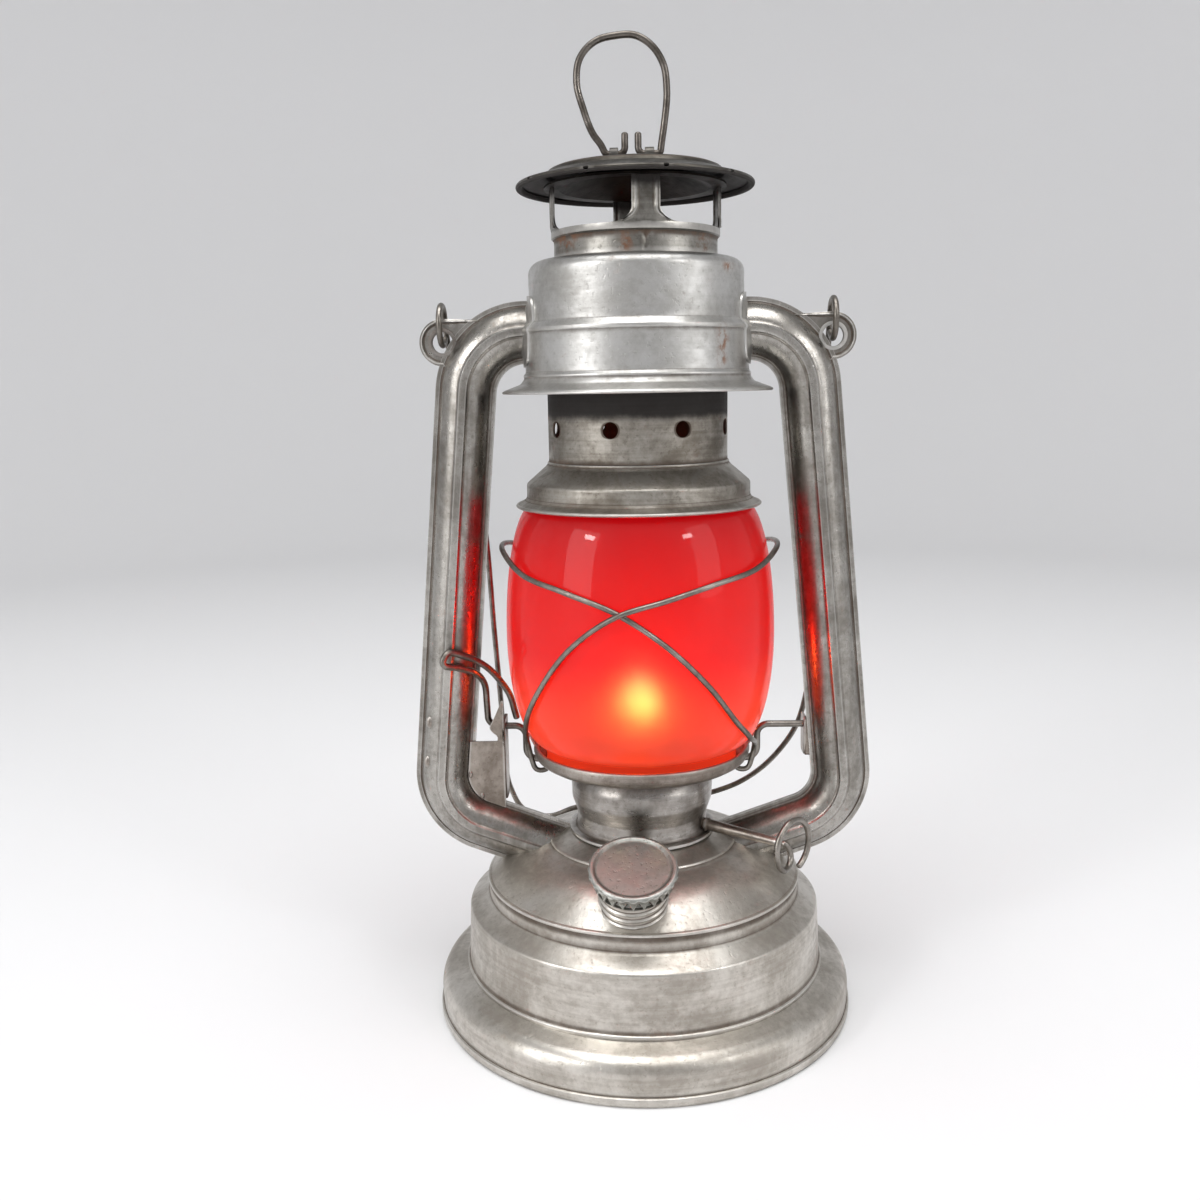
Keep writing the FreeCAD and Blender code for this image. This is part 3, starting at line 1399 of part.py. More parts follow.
def lift_link():
    corners = crank() + [yz_turn(0, 0, LINK_END)]
    return rod(bent(corners, CRANK_BEND), LEVER_WIRE)


NODES = {
    "tank_shell": tank_shell,
    "tank_bottom": tank_bottom,
    "air_deck": air_deck,
    "filler_neck": filler_neck,
    "filler_gasket": filler_gasket,
    "filler_cap": filler_cap,
    "burner_collar": burner_collar,
    "burner_body": burner_body,
    "wick_tube": wick_tube,
    "wick": wick,
    "burner_cone": burner_cone,
    "wick_shaft": wick_shaft,
    "wick_wheels": wick_wheels,
    "wick_knob": wick_knob,
    "globe_plate": globe_plate,
    "globe": globe,
    "guard_wire_left": lambda: guard_wire(-1, GUARD_LEFT_FRONT, 0),
    "guard_wire_right": lambda: guard_wire(1, GUARD_RIGHT_FRONT, GUARD_WIRE + GUARD_GAP),
    "chimney_tube": chimney_tube,
    "chimney_spring": chimney_spring,
    "air_chamber": air_chamber,
    "chamber_hood": chamber_hood,
    "crown": crown,
    "hat": hat,
    "hat_baffle": hat_baffle,
    "ring_strap": ring_strap,
    "strap_rivet": strap_rivet,
    "top_ring": top_ring,
    "tube_right_front": tube_right_front,
    "tube_right_rear": tube_right_rear,
    "tube_left_front": lambda: mirrored(tube_right_front()),
    "tube_left_rear": lambda: mirrored(tube_right_rear()),
    "mouth_collar_right": mouth_collar,
    "mouth_collar_left": lambda: mirrored(mouth_collar()),
    "ear_eyelets": ear_eyelets,
    "bail": bail,
    "lever_bracket": lever_bracket,
    "hinge_bracket": hinge_bracket,
    "bracket_rivets": bracket_rivets,
    "lift_lever": lift_lever,
    "lift_link": lift_link,
}

os.makedirs("parts", exist_ok=True)
for name, make in NODES.items():
    shape = make()
    shape.exportStep(f"parts/{name}.step")
    bounds = shape.BoundBox
    print(
        name, "solids", len(shape.Solids), "valid", shape.isValid(), "volume", round(shape.Volume, 1),
        "z", round(bounds.ZMin, 1), round(bounds.ZMax, 1), "x", round(bounds.XMin, 1), round(bounds.XMax, 1),
    )
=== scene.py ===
# %% [markdown]
# # A tubular lantern in worn tinned steel
#
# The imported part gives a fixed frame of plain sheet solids. This lesson dresses it: every
# pressed, turned or bent piece of the lantern is worked out again with numpy as a smooth
# surface with its real sheet thickness, and gets a finish made from shader nodes.

# %% Load the frame
import math

import bpy
import numpy as np
from mathutils import Matrix


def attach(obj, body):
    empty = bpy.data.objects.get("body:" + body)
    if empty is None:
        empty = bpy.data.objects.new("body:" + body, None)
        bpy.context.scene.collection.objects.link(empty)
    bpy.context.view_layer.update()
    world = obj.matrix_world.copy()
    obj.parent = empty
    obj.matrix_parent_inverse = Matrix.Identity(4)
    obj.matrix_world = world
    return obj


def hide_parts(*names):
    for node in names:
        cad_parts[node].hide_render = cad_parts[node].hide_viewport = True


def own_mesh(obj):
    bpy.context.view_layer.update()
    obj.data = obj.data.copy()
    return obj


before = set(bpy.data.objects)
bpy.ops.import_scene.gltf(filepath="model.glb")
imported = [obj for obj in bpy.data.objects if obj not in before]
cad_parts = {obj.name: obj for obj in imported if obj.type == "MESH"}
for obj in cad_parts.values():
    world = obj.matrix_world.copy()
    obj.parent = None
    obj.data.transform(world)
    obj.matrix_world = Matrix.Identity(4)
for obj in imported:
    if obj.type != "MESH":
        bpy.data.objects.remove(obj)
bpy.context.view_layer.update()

# %% [markdown]
# ## The camera
#
# The photograph looks slightly down on the lantern from about 37 cm. The view was solved from
# the circles of the tank, globe and hat, which all lie round one upright axis. It is made first,
# so that every later step can be judged from the same place.

# %% Camera
SENSOR = 36.0
PHOTO_WIDTH = 1200
FOCAL_PIXELS = 1169.41
CAMERA_PLACE = (0.0, -0.370, 0.20317)
PITCH, YAW, ROLL = np.radians([10.390, -1.973, -1.011])

ahead = np.array([
    math.sin(YAW) * math.cos(PITCH), math.cos(YAW) * math.cos(PITCH), -math.sin(PITCH),
])
level = np.array([math.cos(YAW), -math.sin(YAW), 0.0])
above = np.cross(level, ahead)
across = level * math.cos(ROLL) + above * math.sin(ROLL)
upwards = above * math.cos(ROLL) - level * math.sin(ROLL)


def matrix_of(side, up, back, place):
    """The matrix of an object with these three axes and this place."""
    rows = [[side[k], up[k], back[k], place[k]] for k in range(3)]
    return Matrix([*rows, [0, 0, 0, 1]])


camera = bpy.data.objects.new("camera", bpy.data.cameras.new("camera"))
camera.data.sensor_width = SENSOR
camera.data.lens = FOCAL_PIXELS / PHOTO_WIDTH * SENSOR
camera.data.clip_start = 0.01
camera.matrix_world = matrix_of(across, upwards, -ahead, CAMERA_PLACE)
bpy.context.scene.collection.objects.link(camera)
bpy.context.scene.camera = camera
print("camera lens", round(camera.data.lens, 2))

# %% [markdown]
# ## Shader maths as Python
#
# A finish on old tinplate is arithmetic on masks: how worn, how sooty, how rusty a point is.
# Wrapping a node socket in a small class lets that arithmetic be written as plain expressions,
# and one method makes any other node from its type, settings and socket values.


# %% Sockets and finishes
class Mask:
    """One number socket of a finish, with Python's operators on it."""

    def __init__(self, finish, socket):
        self.finish = finish
        self.socket = socket

    def maths(self, operation, *values):
        return self.finish.node("ShaderNodeMath", {"operation": operation}, *values)

    def __add__(self, other):
        return self.maths("ADD", self, other)

    def __sub__(self, other):
        return self.maths("SUBTRACT", self, other)

    def __rsub__(self, other):
        return self.maths("SUBTRACT", other, self)

    def __mul__(self, other):
        return self.maths("MULTIPLY", self, other)

    __radd__ = __add__
    __rmul__ = __mul__

    def between(self, low, high):
        """0 below low, 1 above high and a soft step between them."""
        settings = {"interpolation_type": "SMOOTHSTEP"}
        return self.finish.node("ShaderNodeMapRange", settings, self, low, high, 0.0, 1.0)


class Finish:
    """A material under construction."""

    def __init__(self, name):
        self.material = bpy.data.materials.new(name)
        self.material.use_nodes = True
        self.tree = self.material.node_tree
        self.surface = self.tree.nodes["Principled BSDF"]
        self.place = self.node("ShaderNodeTexCoord", {}, output="Object").socket

    def node(self, kind, settings, *values, output=0, **named):
        """Adds a node: its settings first, then its sockets by order or by name."""
        made = self.tree.nodes.new(kind)
        for key, value in settings.items():
            setattr(made, key, value)
        for key, value in [*enumerate(values), *named.items()]:
            self.put(made.inputs[key], value)
        return Mask(self, made.outputs[output])

    def put(self, socket, value):
        """Links a value that is a mask or a socket, and sets any other; colours are opaque."""
        if isinstance(value, Mask):
            value = value.socket
        if isinstance(value, bpy.types.NodeSocket):
            self.tree.links.new(value, socket)
        elif socket.type == "RGBA":
            socket.default_value = (*value, 1.0)
        else:
            socket.default_value = value

    def stretched(self, x, y, z):
        """The place on the piece, scaled along each axis."""
        scaling = {"operation": "MULTIPLY"}
        return self.node("ShaderNodeVectorMath", scaling, self.place, (x, y, z)).socket

    def height(self):
        """The height on the piece, in metres."""
        return self.node("ShaderNodeSeparateXYZ", {}, self.place, output=2)

    def noise(self, vector, scale, detail=4.0, roughness=0.55, distortion=0.0):
        return self.node(
            "ShaderNodeTexNoise", {}, Vector=vector, Scale=scale, Detail=detail,
            Roughness=roughness, Distortion=distortion,
        )

    def attribute(self, name):
        return self.node("ShaderNodeAttribute", {"attribute_name": name}, output="Fac")

    def mixed(self, share, one, other):
        """A colour between two, by a mask."""
        made = self.tree.nodes.new("ShaderNodeMix")
        made.data_type = "RGBA"
        for index, value in ((0, share), (6, one), (7, other)):
            self.put(made.inputs[index], value)
        return made.outputs[2]

    def bump(self, height, strength, distance=0.0003):
        settings = {"Strength": strength, "Distance": distance, "Height": height}
        return self.node("ShaderNodeBump", {}, **settings).socket


    def set(self, **sockets):
        """Sets or links inputs of the surface shader; an underscore stands for a space."""
        for key, value in sockets.items():
            self.put(self.surface.inputs[key.replace("_", " ")], value)


def tone(red, green, blue):
    """A colour as it looks on screen, 0 to 255, as the linear value that a shader takes."""
    share = np.array([red, green, blue]) / 255
    linear = np.where(share <= 0.04045, share / 12.92, ((share + 0.055) / 1.055) ** 2.4)
    return tuple(linear.tolist())


print("finish tools ready")

# %% [markdown]
# ## From numbers to closed surfaces
#
# Sheet metal is one surface and its copy a plate's thickness away, joined round every free edge.
# So a piece is a set of grid points, the same points moved inwards, and four-cornered faces.
# Working on whole arrays keeps this quick, and all lengths are millimetres until the mesh is made.


# %% Weld and shell
def grid_faces(rows, columns, around=False):
    """The faces of a grid whose points are numbered row by row; around closes each row."""
    numbers = np.arange(rows * columns).reshape(rows, columns)
    if around:
        numbers = np.hstack([numbers, numbers[:, :1]])
    corners = (numbers[:-1, :-1], numbers[:-1, 1:], numbers[1:, 1:], numbers[1:, :-1])
    return np.stack(corners, axis=-1).reshape(-1, 4)


def edges_of(faces):
    return np.concatenate([faces[:, [k, (k + 1) % 4]] for k in range(4)])


def together(*surfaces):
    """Several (points, faces) as one, with the faces renumbered."""
    starts = np.cumsum([0] + [len(points) for points, _ in surfaces[:-1]])
    points = np.concatenate([points for points, _ in surfaces])
    return points, np.concatenate([faces + start for (_, faces), start in zip(surfaces, starts)])


def welded(points, faces, *others):
    """Merges points that agree to a micrometre, and drops faces that vanish; others follow."""
    keys = np.round(np.asarray(points) * 1000).astype(np.int64)
    _, kept, number = np.unique(keys, axis=0, return_index=True, return_inverse=True)
    faces = number.reshape(-1)[faces]
    corners = [faces[:, 0], faces[:, 1], faces[:, 2], faces[:, 3]]
    changes = sum((a != b).astype(int) for a, b in zip(corners, corners[1:] + corners[:1]))
    faces = faces[changes > 2]
    return (points[kept], faces, *[other[kept] for other in others])


def shell(outer, inner, faces):
    """Closes a surface with its copy inside: the copy's faces are reversed, and each edge that
    only one face uses gets a wall between the two."""
    outer, faces, inner = welded(outer, faces, inner)
    edges = edges_of(faces)
    edges = edges[edges[:, 0] != edges[:, 1]]
    low, high = np.sort(edges, axis=1).T
    _, first, times = np.unique(low * len(outer) + high, return_index=True, return_counts=True)
    rim = edges[first[times == 1]]
    count = len(outer)
    wall = np.stack([rim[:, 1], rim[:, 0], rim[:, 0] + count, rim[:, 1] + count], axis=-1)
    return np.concatenate([outer, inner]), np.concatenate([faces, faces[:, ::-1] + count, wall])


print("a grid of 3 by 3 points has", len(grid_faces(3, 3)), "faces")

# %% [markdown]
# ## A mesh that knows its hollows
#
# Dirt gathers where sheet bends inwards, and rubbing brightens what stands out. So each mesh
# carries that as an attribute of its points, worked out from the points themselves, and a finish
# can use it as a mask. The body that a piece moves with is set as it is made.


# %% Creases and add
def outwards(points, faces):
    """Turns all faces round if the signed volume is negative: a sixth of the sum of a . (b x c)."""
    a, b, c, d = (points[faces[:, k]] for k in range(4))
    volume = np.einsum("ij,ij->i", a, np.cross(b, c) + np.cross(c, d)).sum()
    return faces if volume > 0 else faces[:, ::-1]


def creases(points, faces):
    """How hollow (+) or sharp (-) each point is: the mean over its edges of the neighbour's
    height over the point's own tangent plane, divided by the square of the edge's length."""
    a, b, c, d = (points[faces[:, k]] for k in range(4))
    facing = np.cross(c - a, d - b)
    normals = np.zeros_like(points)
    np.add.at(normals, faces.ravel(), np.repeat(facing, 4, axis=0))
    normals /= np.linalg.norm(normals, axis=1, keepdims=True) + 1e-12
    edges = edges_of(faces)
    edges = np.concatenate([edges, edges[:, ::-1]])
    run = points[edges[:, 1]] - points[edges[:, 0]]
    square = (run**2).sum(axis=1) + 0.01
    bend = 2 * (run * normals[edges[:, 0]]).sum(axis=1) / square
    times = np.bincount(edges[:, 0], minlength=len(points)) + 1e-9
    hollow = np.bincount(edges[:, 0], bend, minlength=len(points)) / times
    spread = np.bincount(edges[:, 0], hollow[edges[:, 1]], minlength=len(points)) / times
    return np.clip((hollow + spread) / 2 * 0.8, -1, 1)


def add(name, surface, body, finish, stands_for=(), slot="tinned_steel", sharp=38, **masks):
    """Makes a piece from (points, faces) in millimetres, with its finish, body and masks."""
    points, faces = surface
    faces = outwards(points, faces)
    hollow = creases(points, faces)
    polygons = [list(dict.fromkeys(face)) for face in faces.tolist()]
    mesh = bpy.data.meshes.new(name)
    mesh.from_pydata((points / 1000).tolist(), [], polygons)
    for label, values in {"crease": hollow, **masks}.items():
        layer = mesh.attributes.new(label, "FLOAT", "POINT")
        layer.data.foreach_set("value", np.ascontiguousarray(values, dtype=np.float32))
    mesh.validate()
    mesh.shade_smooth()
    mesh.set_sharp_from_angle(angle=math.radians(sharp))
    mesh.materials.append(finish)
    piece = bpy.data.objects.new(name, mesh)
    bpy.context.scene.collection.objects.link(piece)
    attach(piece, body)
    if stands_for:
        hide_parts(*stands_for)
    print(name, len(faces), "faces")
    return piece


print("ready to add pieces")

# %% [markdown]
# ## Outlines, wires and turned work
#
# Pressed sheet has rounded bends, so an outline is a chain of corners, each with its bending
# radius. Turning it round the upright axis gives the tank, the chamber or the hat, and carrying
# a circle along a smooth line gives the wires.


# %% Chains
def joined(*columns):
    """Coordinates as points. Each may be a number or an array, and all are spread to one shape."""
    return np.stack(np.broadcast_arrays(*columns), axis=-1)


def rounded(corners, radii, step=0.35, run=1.5):
    """A chain of points with an arc at each corner, in any number of dimensions.

    An arc touches its two runs at radius * tan(turn / 2) from the corner. Its points are the
    spokes at its two ends mixed as sin((1 - t) turn) and sin(t turn) over sin(turn).
    """
    places = np.asarray(corners, float)
    runs = np.diff(places, axis=0)
    lengths = np.linalg.norm(runs, axis=1)
    units = runs / lengths[:, None]
    arcs = [places[:1]]
    for index, radius in enumerate(radii[1:-1], start=1):
        back, ahead = units[index - 1], units[index]
        turn = math.acos(np.clip(back @ ahead, -1, 1))
        room = 0.49 * min(lengths[index - 1], lengths[index])
        reach = min(radius * math.tan(turn / 2), room)
        if reach < 1e-3 or turn < 0.02:
            arcs.append(places[index : index + 1])
            continue
        radius = reach / math.tan(turn / 2)
        inwards = (ahead - back) / np.linalg.norm(ahead - back)
        centre = places[index] + inwards * radius / math.cos(turn / 2)
        first = places[index] - back * reach - centre
        last = places[index] + ahead * reach - centre
        share = np.linspace(0, 1, max(3, int(turn * radius / step) + 1))[:, None]
        mix = np.sin((1 - share) * turn) * first + np.sin(share * turn) * last
        arcs.append(centre + mix / math.sin(turn))
    arcs.append(places[-1:])
    chain = [arcs[0]]
    for before, after in zip(arcs, arcs[1:]):
        gap = after[0] - before[-1]
        share = np.linspace(0, 1, max(1, int(np.linalg.norm(gap) / run)) + 1)[1:, None]
        chain += [before[-1] + gap * share, after[1:]]
    return np.concatenate(chain)


def outline(*corners, **steps):
    """A chain from corners of (radius or x, height, bending radius)."""
    places, radii = [corner[:2] for corner in corners], [(*corner, 0)[2] for corner in corners]
    return rounded(places, radii, **steps)


def lengths_along(chain):
    return np.concatenate([[0], np.cumsum(np.linalg.norm(np.diff(chain, axis=0), axis=1))])


def even(chain, step):
    """The chain with its points an equal distance apart."""
    along = lengths_along(chain)
    wanted = np.linspace(0, along[-1], max(2, int(along[-1] / step) + 1))
    return joined(*[np.interp(wanted, along, column) for column in chain.T])


def through(points, leave=None, arrive=None, step=0.7):
    """A smooth line through points. The tangent at each is that of the circle through it and its
    neighbours, and each piece between two points is the cubic with those tangents."""
    points = np.asarray(points, float)
    runs = np.diff(points, axis=0)
    square = (runs**2).sum(axis=1, keepdims=True)
    tangents = runs[:-1] / square[:-1] + runs[1:] / square[1:]
    tangents /= np.linalg.norm(tangents, axis=1, keepdims=True)
    units = runs / np.sqrt(square)
    if leave is None:
        leave = 2 * units[0] * (units[0] @ tangents[0]) - tangents[0]
    if arrive is None:
        arrive = 2 * units[-1] * (units[-1] @ tangents[-1]) - tangents[-1]
    tangents = np.vstack([leave, tangents, arrive])
    t = np.linspace(0, 1, 25)[:-1, None, None]
    size = np.sqrt(square)
    line = (
        (2 * t**3 - 3 * t**2 + 1) * points[:-1]
        + (t**3 - 2 * t**2 + t) * tangents[:-1] * size
        + (3 * t**2 - 2 * t**3) * points[1:]
        + (t**3 - t**2) * tangents[1:] * size
    )
    line = np.concatenate([line.transpose(1, 0, 2).reshape(-1, 3), points[-1:]])
    return even(line, step)


print("chain of a right angle:", len(outline((0, 0), (10, 0, 3), (10, 10))), "points")


# %% Turned and swept
def circle(count):
    """Angles evenly round a circle."""
    return np.linspace(0, 2 * np.pi, count, endpoint=False)


def spun(angle, radius, height):
    """Points from an angle round the upright axis, a radius and a height."""
    return joined(radius * np.cos(angle), radius * np.sin(angle), height)


def closed(rows):
    """A closed surface from rows of points, each of which goes round."""
    return welded(rows.reshape(-1, 3), grid_faces(*rows.shape[:2], around=True))


def turned(chain, sides=144, close=True):
    """Carries a chain of (radius, height) round the axis; close joins its end to its start."""
    if close:
        chain = np.vstack([chain, chain[:1]])
    return closed(spun(circle(sides), chain[:, :1], chain[:, 1:]))


def swept(path, radius, sides=14):
    """Carries a circle along a path, with rounded ends.

    The cross section stays square to the path. Its zero direction starts from one fixed vector,
    and is turned back at each point by the twist that the path has gathered up to there.
    """
    path = np.asarray(path, float)
    ahead = np.gradient(path, axis=0)
    ahead /= np.linalg.norm(ahead, axis=1, keepdims=True)
    side = np.cross(ahead, [0.331, 0.577, 0.747])
    side /= np.linalg.norm(side, axis=1, keepdims=True)
    up = np.cross(ahead, side)
    carried = side[:-1] - ahead[1:] * (side[:-1] * ahead[1:]).sum(axis=1, keepdims=True)
    twist = np.arctan2((carried * up[1:]).sum(axis=1), (carried * side[1:]).sum(axis=1))
    twist = np.concatenate([[0], np.cumsum(twist)])[:, None]
    angle = circle(sides) + twist
    size = np.broadcast_to(np.asarray(radius, float).reshape(-1, 1), (len(path), 1))
    ring = np.cos(angle)[..., None] * side[:, None] + np.sin(angle)[..., None] * up[:, None]
    points = path[:, None] + ring * size[..., None]
    caps = []
    for end, sign in ((0, -1), (-1, 1)):
        share = np.linspace(0, 1, 5)[1:, None, None] * np.pi / 2
        rise = ahead[end] * sign * size[end] * 0.7
        caps.append(path[end] + ring[end] * size[end] * np.cos(share) + rise * np.sin(share))
    return closed(np.concatenate([caps[0][::-1], points, caps[1]]))


print("a turned ring:", len(turned(outline((10, 0), (12, 0, 1), (12, 2), (10, 2)))[1]), "faces")

# %% [markdown]
# ## Worn tinplate
#
# Tin goes grey in soft clouds, keeps the faint rings of the spinning or rolling that shaped it,
# gathers brown dirt in its hollows and is rubbed bright on its edges. Each of these is a mask:
# noise for the clouds, stretched noise for the rings, and the crease attribute for the rest.


# %% The tin finish
BARE_EDGE = (0.68, 0.66, 0.63)
GRIME = (0.070, 0.052, 0.038)
RUST = (0.190, 0.080, 0.036)
# Near black, for real soot and for painted shade and shadow.
SOOT_AND_SHADE = (0.018, 0.014, 0.012)


def tin(
    name, light=(0.47, 0.455, 0.435), dark=(0.22, 0.205, 0.185), grain="turned", streaks=0.2,
    cloud=0.6, dirt=0.6, rust=0.15, roughness=0.34, spots=0.5, rub=0.55, soot=False, stains=False,
):
    """Tinned steel between two greys. grain is the direction of its streaks, and the numbers say
    how much there is of each mark; stains and the switch for soot and painted shade add those
    attributes of the piece."""
    finish = Finish(name)
    crease = finish.attribute("crease")
    clouds = finish.noise(finish.place, 40.0, 7.0, 0.66, 0.5)
    fine = finish.noise(finish.place, 420.0, 6.0, 0.65)
    dust = finish.noise(finish.place, 120.0, 4.0, 0.7)
    if grain == "turned":
        flat = finish.stretched(1.0, 1.0, 0.0)
        radius = finish.node("ShaderNodeVectorMath", {"operation": "LENGTH"}, flat, output=1)
        level = (finish.height() + radius * 0.7) * 900.0
        rings = finish.node("ShaderNodeCombineXYZ", {}, X=radius * 6.0, Z=level)
        turn = finish.stretched(26.0, 26.0, 0.0)
        line = finish.node("ShaderNodeVectorMath", {"operation": "ADD"}, rings, turn).socket
    elif grain == "long":
        line = finish.stretched(520.0, 520.0, 26.0)
    else:
        line = finish.stretched(160.0, 160.0, 160.0)
    streak = finish.noise(line, 1.0, 3.0, 0.6)
    pits = finish.noise(finish.place, 950.0, 2.0, 0.5).between(0.60, 0.70) * spots
    mottle = clouds.between(0.34, 0.66) * cloud + fine.between(0.30, 0.72) * 0.25
    tired = (mottle + streak.between(0.30, 0.72) * streaks + pits * 0.35).between(-0.05, 1.0)
    hollow = crease.between(0.04, 0.42) * (dust * 0.8 + 0.5)
    rubbed = (0.0 - crease).between(0.10, 0.55) * (1.25 - dust)
    grimy = (hollow * dirt + clouds.between(0.56, 0.74) * dust * (dirt * 0.5)).between(0.0, 1.0)
    blotch = finish.noise(finish.place, 64.0, 7.0, 0.7, 0.6).between(0.60, 0.72)
    rusty = (blotch + hollow * 0.35) * fine.between(0.30, 0.62) * rust
    if stains:
        rusty = (rusty + finish.attribute("stain") * fine.between(0.36, 0.62)).between(0.0, 1.0)
    colour = finish.mixed(tired, light, dark)
    colour = finish.mixed(rubbed * rub, colour, BARE_EDGE)
    colour = finish.mixed(grimy, colour, GRIME)
    colour = finish.mixed(rusty, colour, RUST)
    shine = 1.0 - (grimy * 0.75 + rusty * 0.9)
    rough = streak * 0.12 + tired * 0.14 + grimy * 0.30 + rusty * 0.4 + (roughness - 0.12)
    if soot:
        # Near black where the piece's attribute says: real soot, and on some pieces painted shadow.
        black = (finish.attribute("soot") + (dust - 0.5) * 0.5).between(0.25, 0.75)
        colour = finish.mixed(black, colour, SOOT_AND_SHADE)
        shine = shine * (1.0 - black * 0.9)
        rough = rough + black * 0.3
    height = streak * (streaks * 1.5) + clouds * 1.4 + fine * 0.4 - pits * 0.6 - rusty * 0.8
    bump = finish.bump(height, 0.35, 0.00025)
    finish.set(Base_Color=colour, Metallic=shine, Roughness=rough, Normal=bump)
    print("finish", name)
    return finish.material


tank_tin = tin("tank_tin", (0.66, 0.63, 0.58), (0.36, 0.33, 0.29), dirt=0.8, rust=0.3, roughness=0.36)
collar_tin = tin(
    "collar_tin", (0.44, 0.415, 0.39), (0.20, 0.18, 0.16), cloud=0.45, dirt=0.8, roughness=0.31,
    soot=True,
)
filler_tin = tin(
    "filler_tin", (0.37, 0.385, 0.36), (0.18, 0.165, 0.145), "cast", dirt=0.9, rust=0.5,
    roughness=0.46, spots=1.1,
)
plate_tin = tin("plate_tin", (0.46, 0.42, 0.38), (0.20, 0.165, 0.14), dirt=0.9, rust=0.35, roughness=0.42)
tube_tin = tin(
    "tube_tin", (0.46, 0.44, 0.41), (0.20, 0.185, 0.165), "long", dirt=0.8, rust=0.3, roughness=0.29,
)
pale = ((0.57, 0.565, 0.55), (0.34, 0.33, 0.31))
chamber_tin = tin("chamber_tin", *pale, streaks=0.1, cloud=0.6, rust=0.4, roughness=0.40)
hood_tin = tin("hood_tin", *pale, streaks=0.1, cloud=0.6, rust=0.4, roughness=0.38, stains=True)
chimney_tin = tin(
    "chimney_tin", (0.41, 0.385, 0.345), (0.16, 0.14, 0.115), dirt=0.9, rust=0.2, roughness=0.42,
    soot=True,
)
hat_tin = tin(
    "hat_tin", (0.095, 0.087, 0.074), (0.034, 0.030, 0.025), dirt=0.8, rust=0.2, roughness=0.40,
    rub=0.12, soot=True,
)
crown_tin = tin(
    "crown_tin", (0.35, 0.338, 0.31), (0.13, 0.12, 0.104), dirt=0.95, rust=0.8, roughness=0.33,
    soot=True, stains=True,
)
bracket_tin = tin(
    "bracket_tin", (0.37, 0.325, 0.285), (0.17, 0.14, 0.115), "cast", dirt=0.8, rust=0.4,
)
wire_look = {"grain": "cast", "dirt": 0.7, "roughness": 0.32, "rub": 0.0}
wire_tin = tin("wire_tin", (0.20, 0.18, 0.16), (0.060, 0.050, 0.042), rust=0.35, **wire_look)
bright_wire = tin("bright_wire", (0.34, 0.315, 0.285), (0.14, 0.125, 0.108), rust=0.2, **wire_look)
burner_tin = tin(
    "burner_tin", (0.36, 0.30, 0.20), (0.14, 0.105, 0.07), "cast", dirt=0.8, rust=0.3, roughness=0.45,
)
sooty_tin = tin(
    "sooty_tin", (0.030, 0.025, 0.021), (0.010, 0.008, 0.007), "cast", dirt=0.9, roughness=0.6,
)

# %% [markdown]
# ## The tank
#
# The tank is the widest turned piece: a rolled foot, a flared skirt, an upright wall, a stepped
# shoulder and a low dome. Its real bends are tight, so the outline carries a small radius at
# each corner, and the highlights that these bends catch are what makes it look pressed. The
# collar on top of it holds the burner, and its upper end is painted dark as the shadow of the
# globe plate over it.

# %% Tank and collar
TANK = outline(
    (18.0, 59.4), (21.2, 59.3, 0.2), (31.0, 55.0, 0.4), (41.65, 51.3, 60), (50.0, 44.6, 0.3),
    (50.6, 39.0, 0.3), (57.0, 34.9, 1.0), (57.9, 17.0, 0.5), (67.0, 3.1, 12), (66.9, 2.2, 0.3),
    (66.3, 2.4, 0.05), (65.75, 1.5, 0.3), (66.4, 0.0, 0.5), (67.8, 0.0, 0.5), (68.38, 1.2, 0.8),
    (68.37, 2.95, 1.25), (67.5, 3.12, 0.25), (67.6, 3.3), (68.0, 12.8, 12.4), (58.8, 15.7),
    (59.2, 15.6, 0.35), (59.2, 16.8, 0.45), (58.45, 17.1, 0.3), (57.6, 35.4, 1.0), (52.2, 38.6, 3),
    (51.2, 39.4, 0.5), (51.1, 43.9, 0.3), (51.5, 44.0, 0.35), (51.5, 44.9, 0.4), (50.6, 45.1, 0.3),
    (41.65, 51.94, 66), (31.0, 55.7, 0.4), (30.7, 56.35, 0.5), (21.6, 59.75, 0.3), (18.0, 60.0),
)
add("tank", turned(TANK, 180), "lantern_frame", tank_tin, ["tank_shell"])

COLLAR = outline(
    (24.0, 59.35), (24.0, 60.2, 0.25), (21.7, 60.35, 0.5), (21.3, 61.4, 0.4), (21.3, 65.5, 3),
    (23.0, 70.5, 5), (23.15, 76, 4), (20.7, 81.3, 1.6), (20.2, 82.4, 0.1), (19.1, 82.4, 0.1),
    (19.2, 81.6, 0.4), (20.1, 80.9, 0.9), (22.5, 75.8, 3.8), (22.35, 70.7, 5), (20.7, 65.7, 3),
    (20.65, 59.9), (21.4, 59.35),
)


def ramp(x, width):
    """0 up to x = 0, then a straight rise to 1 over the width."""
    return np.clip(x / width, 0, 1)


points, faces = turned(COLLAR, 120)
# Painted shadow: the collar darkens towards its top, where the globe plate above shades it.
soot = np.minimum(ramp(points[:, 2] - 76, 6), 0.62)
add("collar", (points, faces), "lantern_frame", collar_tin, ["burner_collar"], soot=soot)

# %% [markdown]
# ## Globe, plate and chimney
#
# The globe is free blown in shape: its sides are two quarter ellipses that meet at the belt. It
# stands in a dished, vented plate and reaches up into the chimney's lip. The chimney slides on
# its spring, so these pieces ride on their own bodies.

# %% Globe
SHELF, BELT, MOUTH_FOOT = 90.0, 125.0, 167.0
SHELF_RADIUS, BELT_RADIUS, MOUTH_RADIUS = 32.5, 42.9, 33.2


def glass_radius(height):
    """A quarter ellipse under the belt and one above it: start + (belt - start) sqrt(1 - share^2)."""
    height = np.asarray(height, float)
    start = np.where(height < BELT, SHELF_RADIUS, MOUTH_RADIUS)
    reach = np.where(height < BELT, BELT - SHELF, MOUTH_FOOT - BELT)
    share = np.clip(np.abs(height - BELT) / reach, 0, 1)
    return start + (BELT_RADIUS - start) * np.sqrt(1 - share**2)


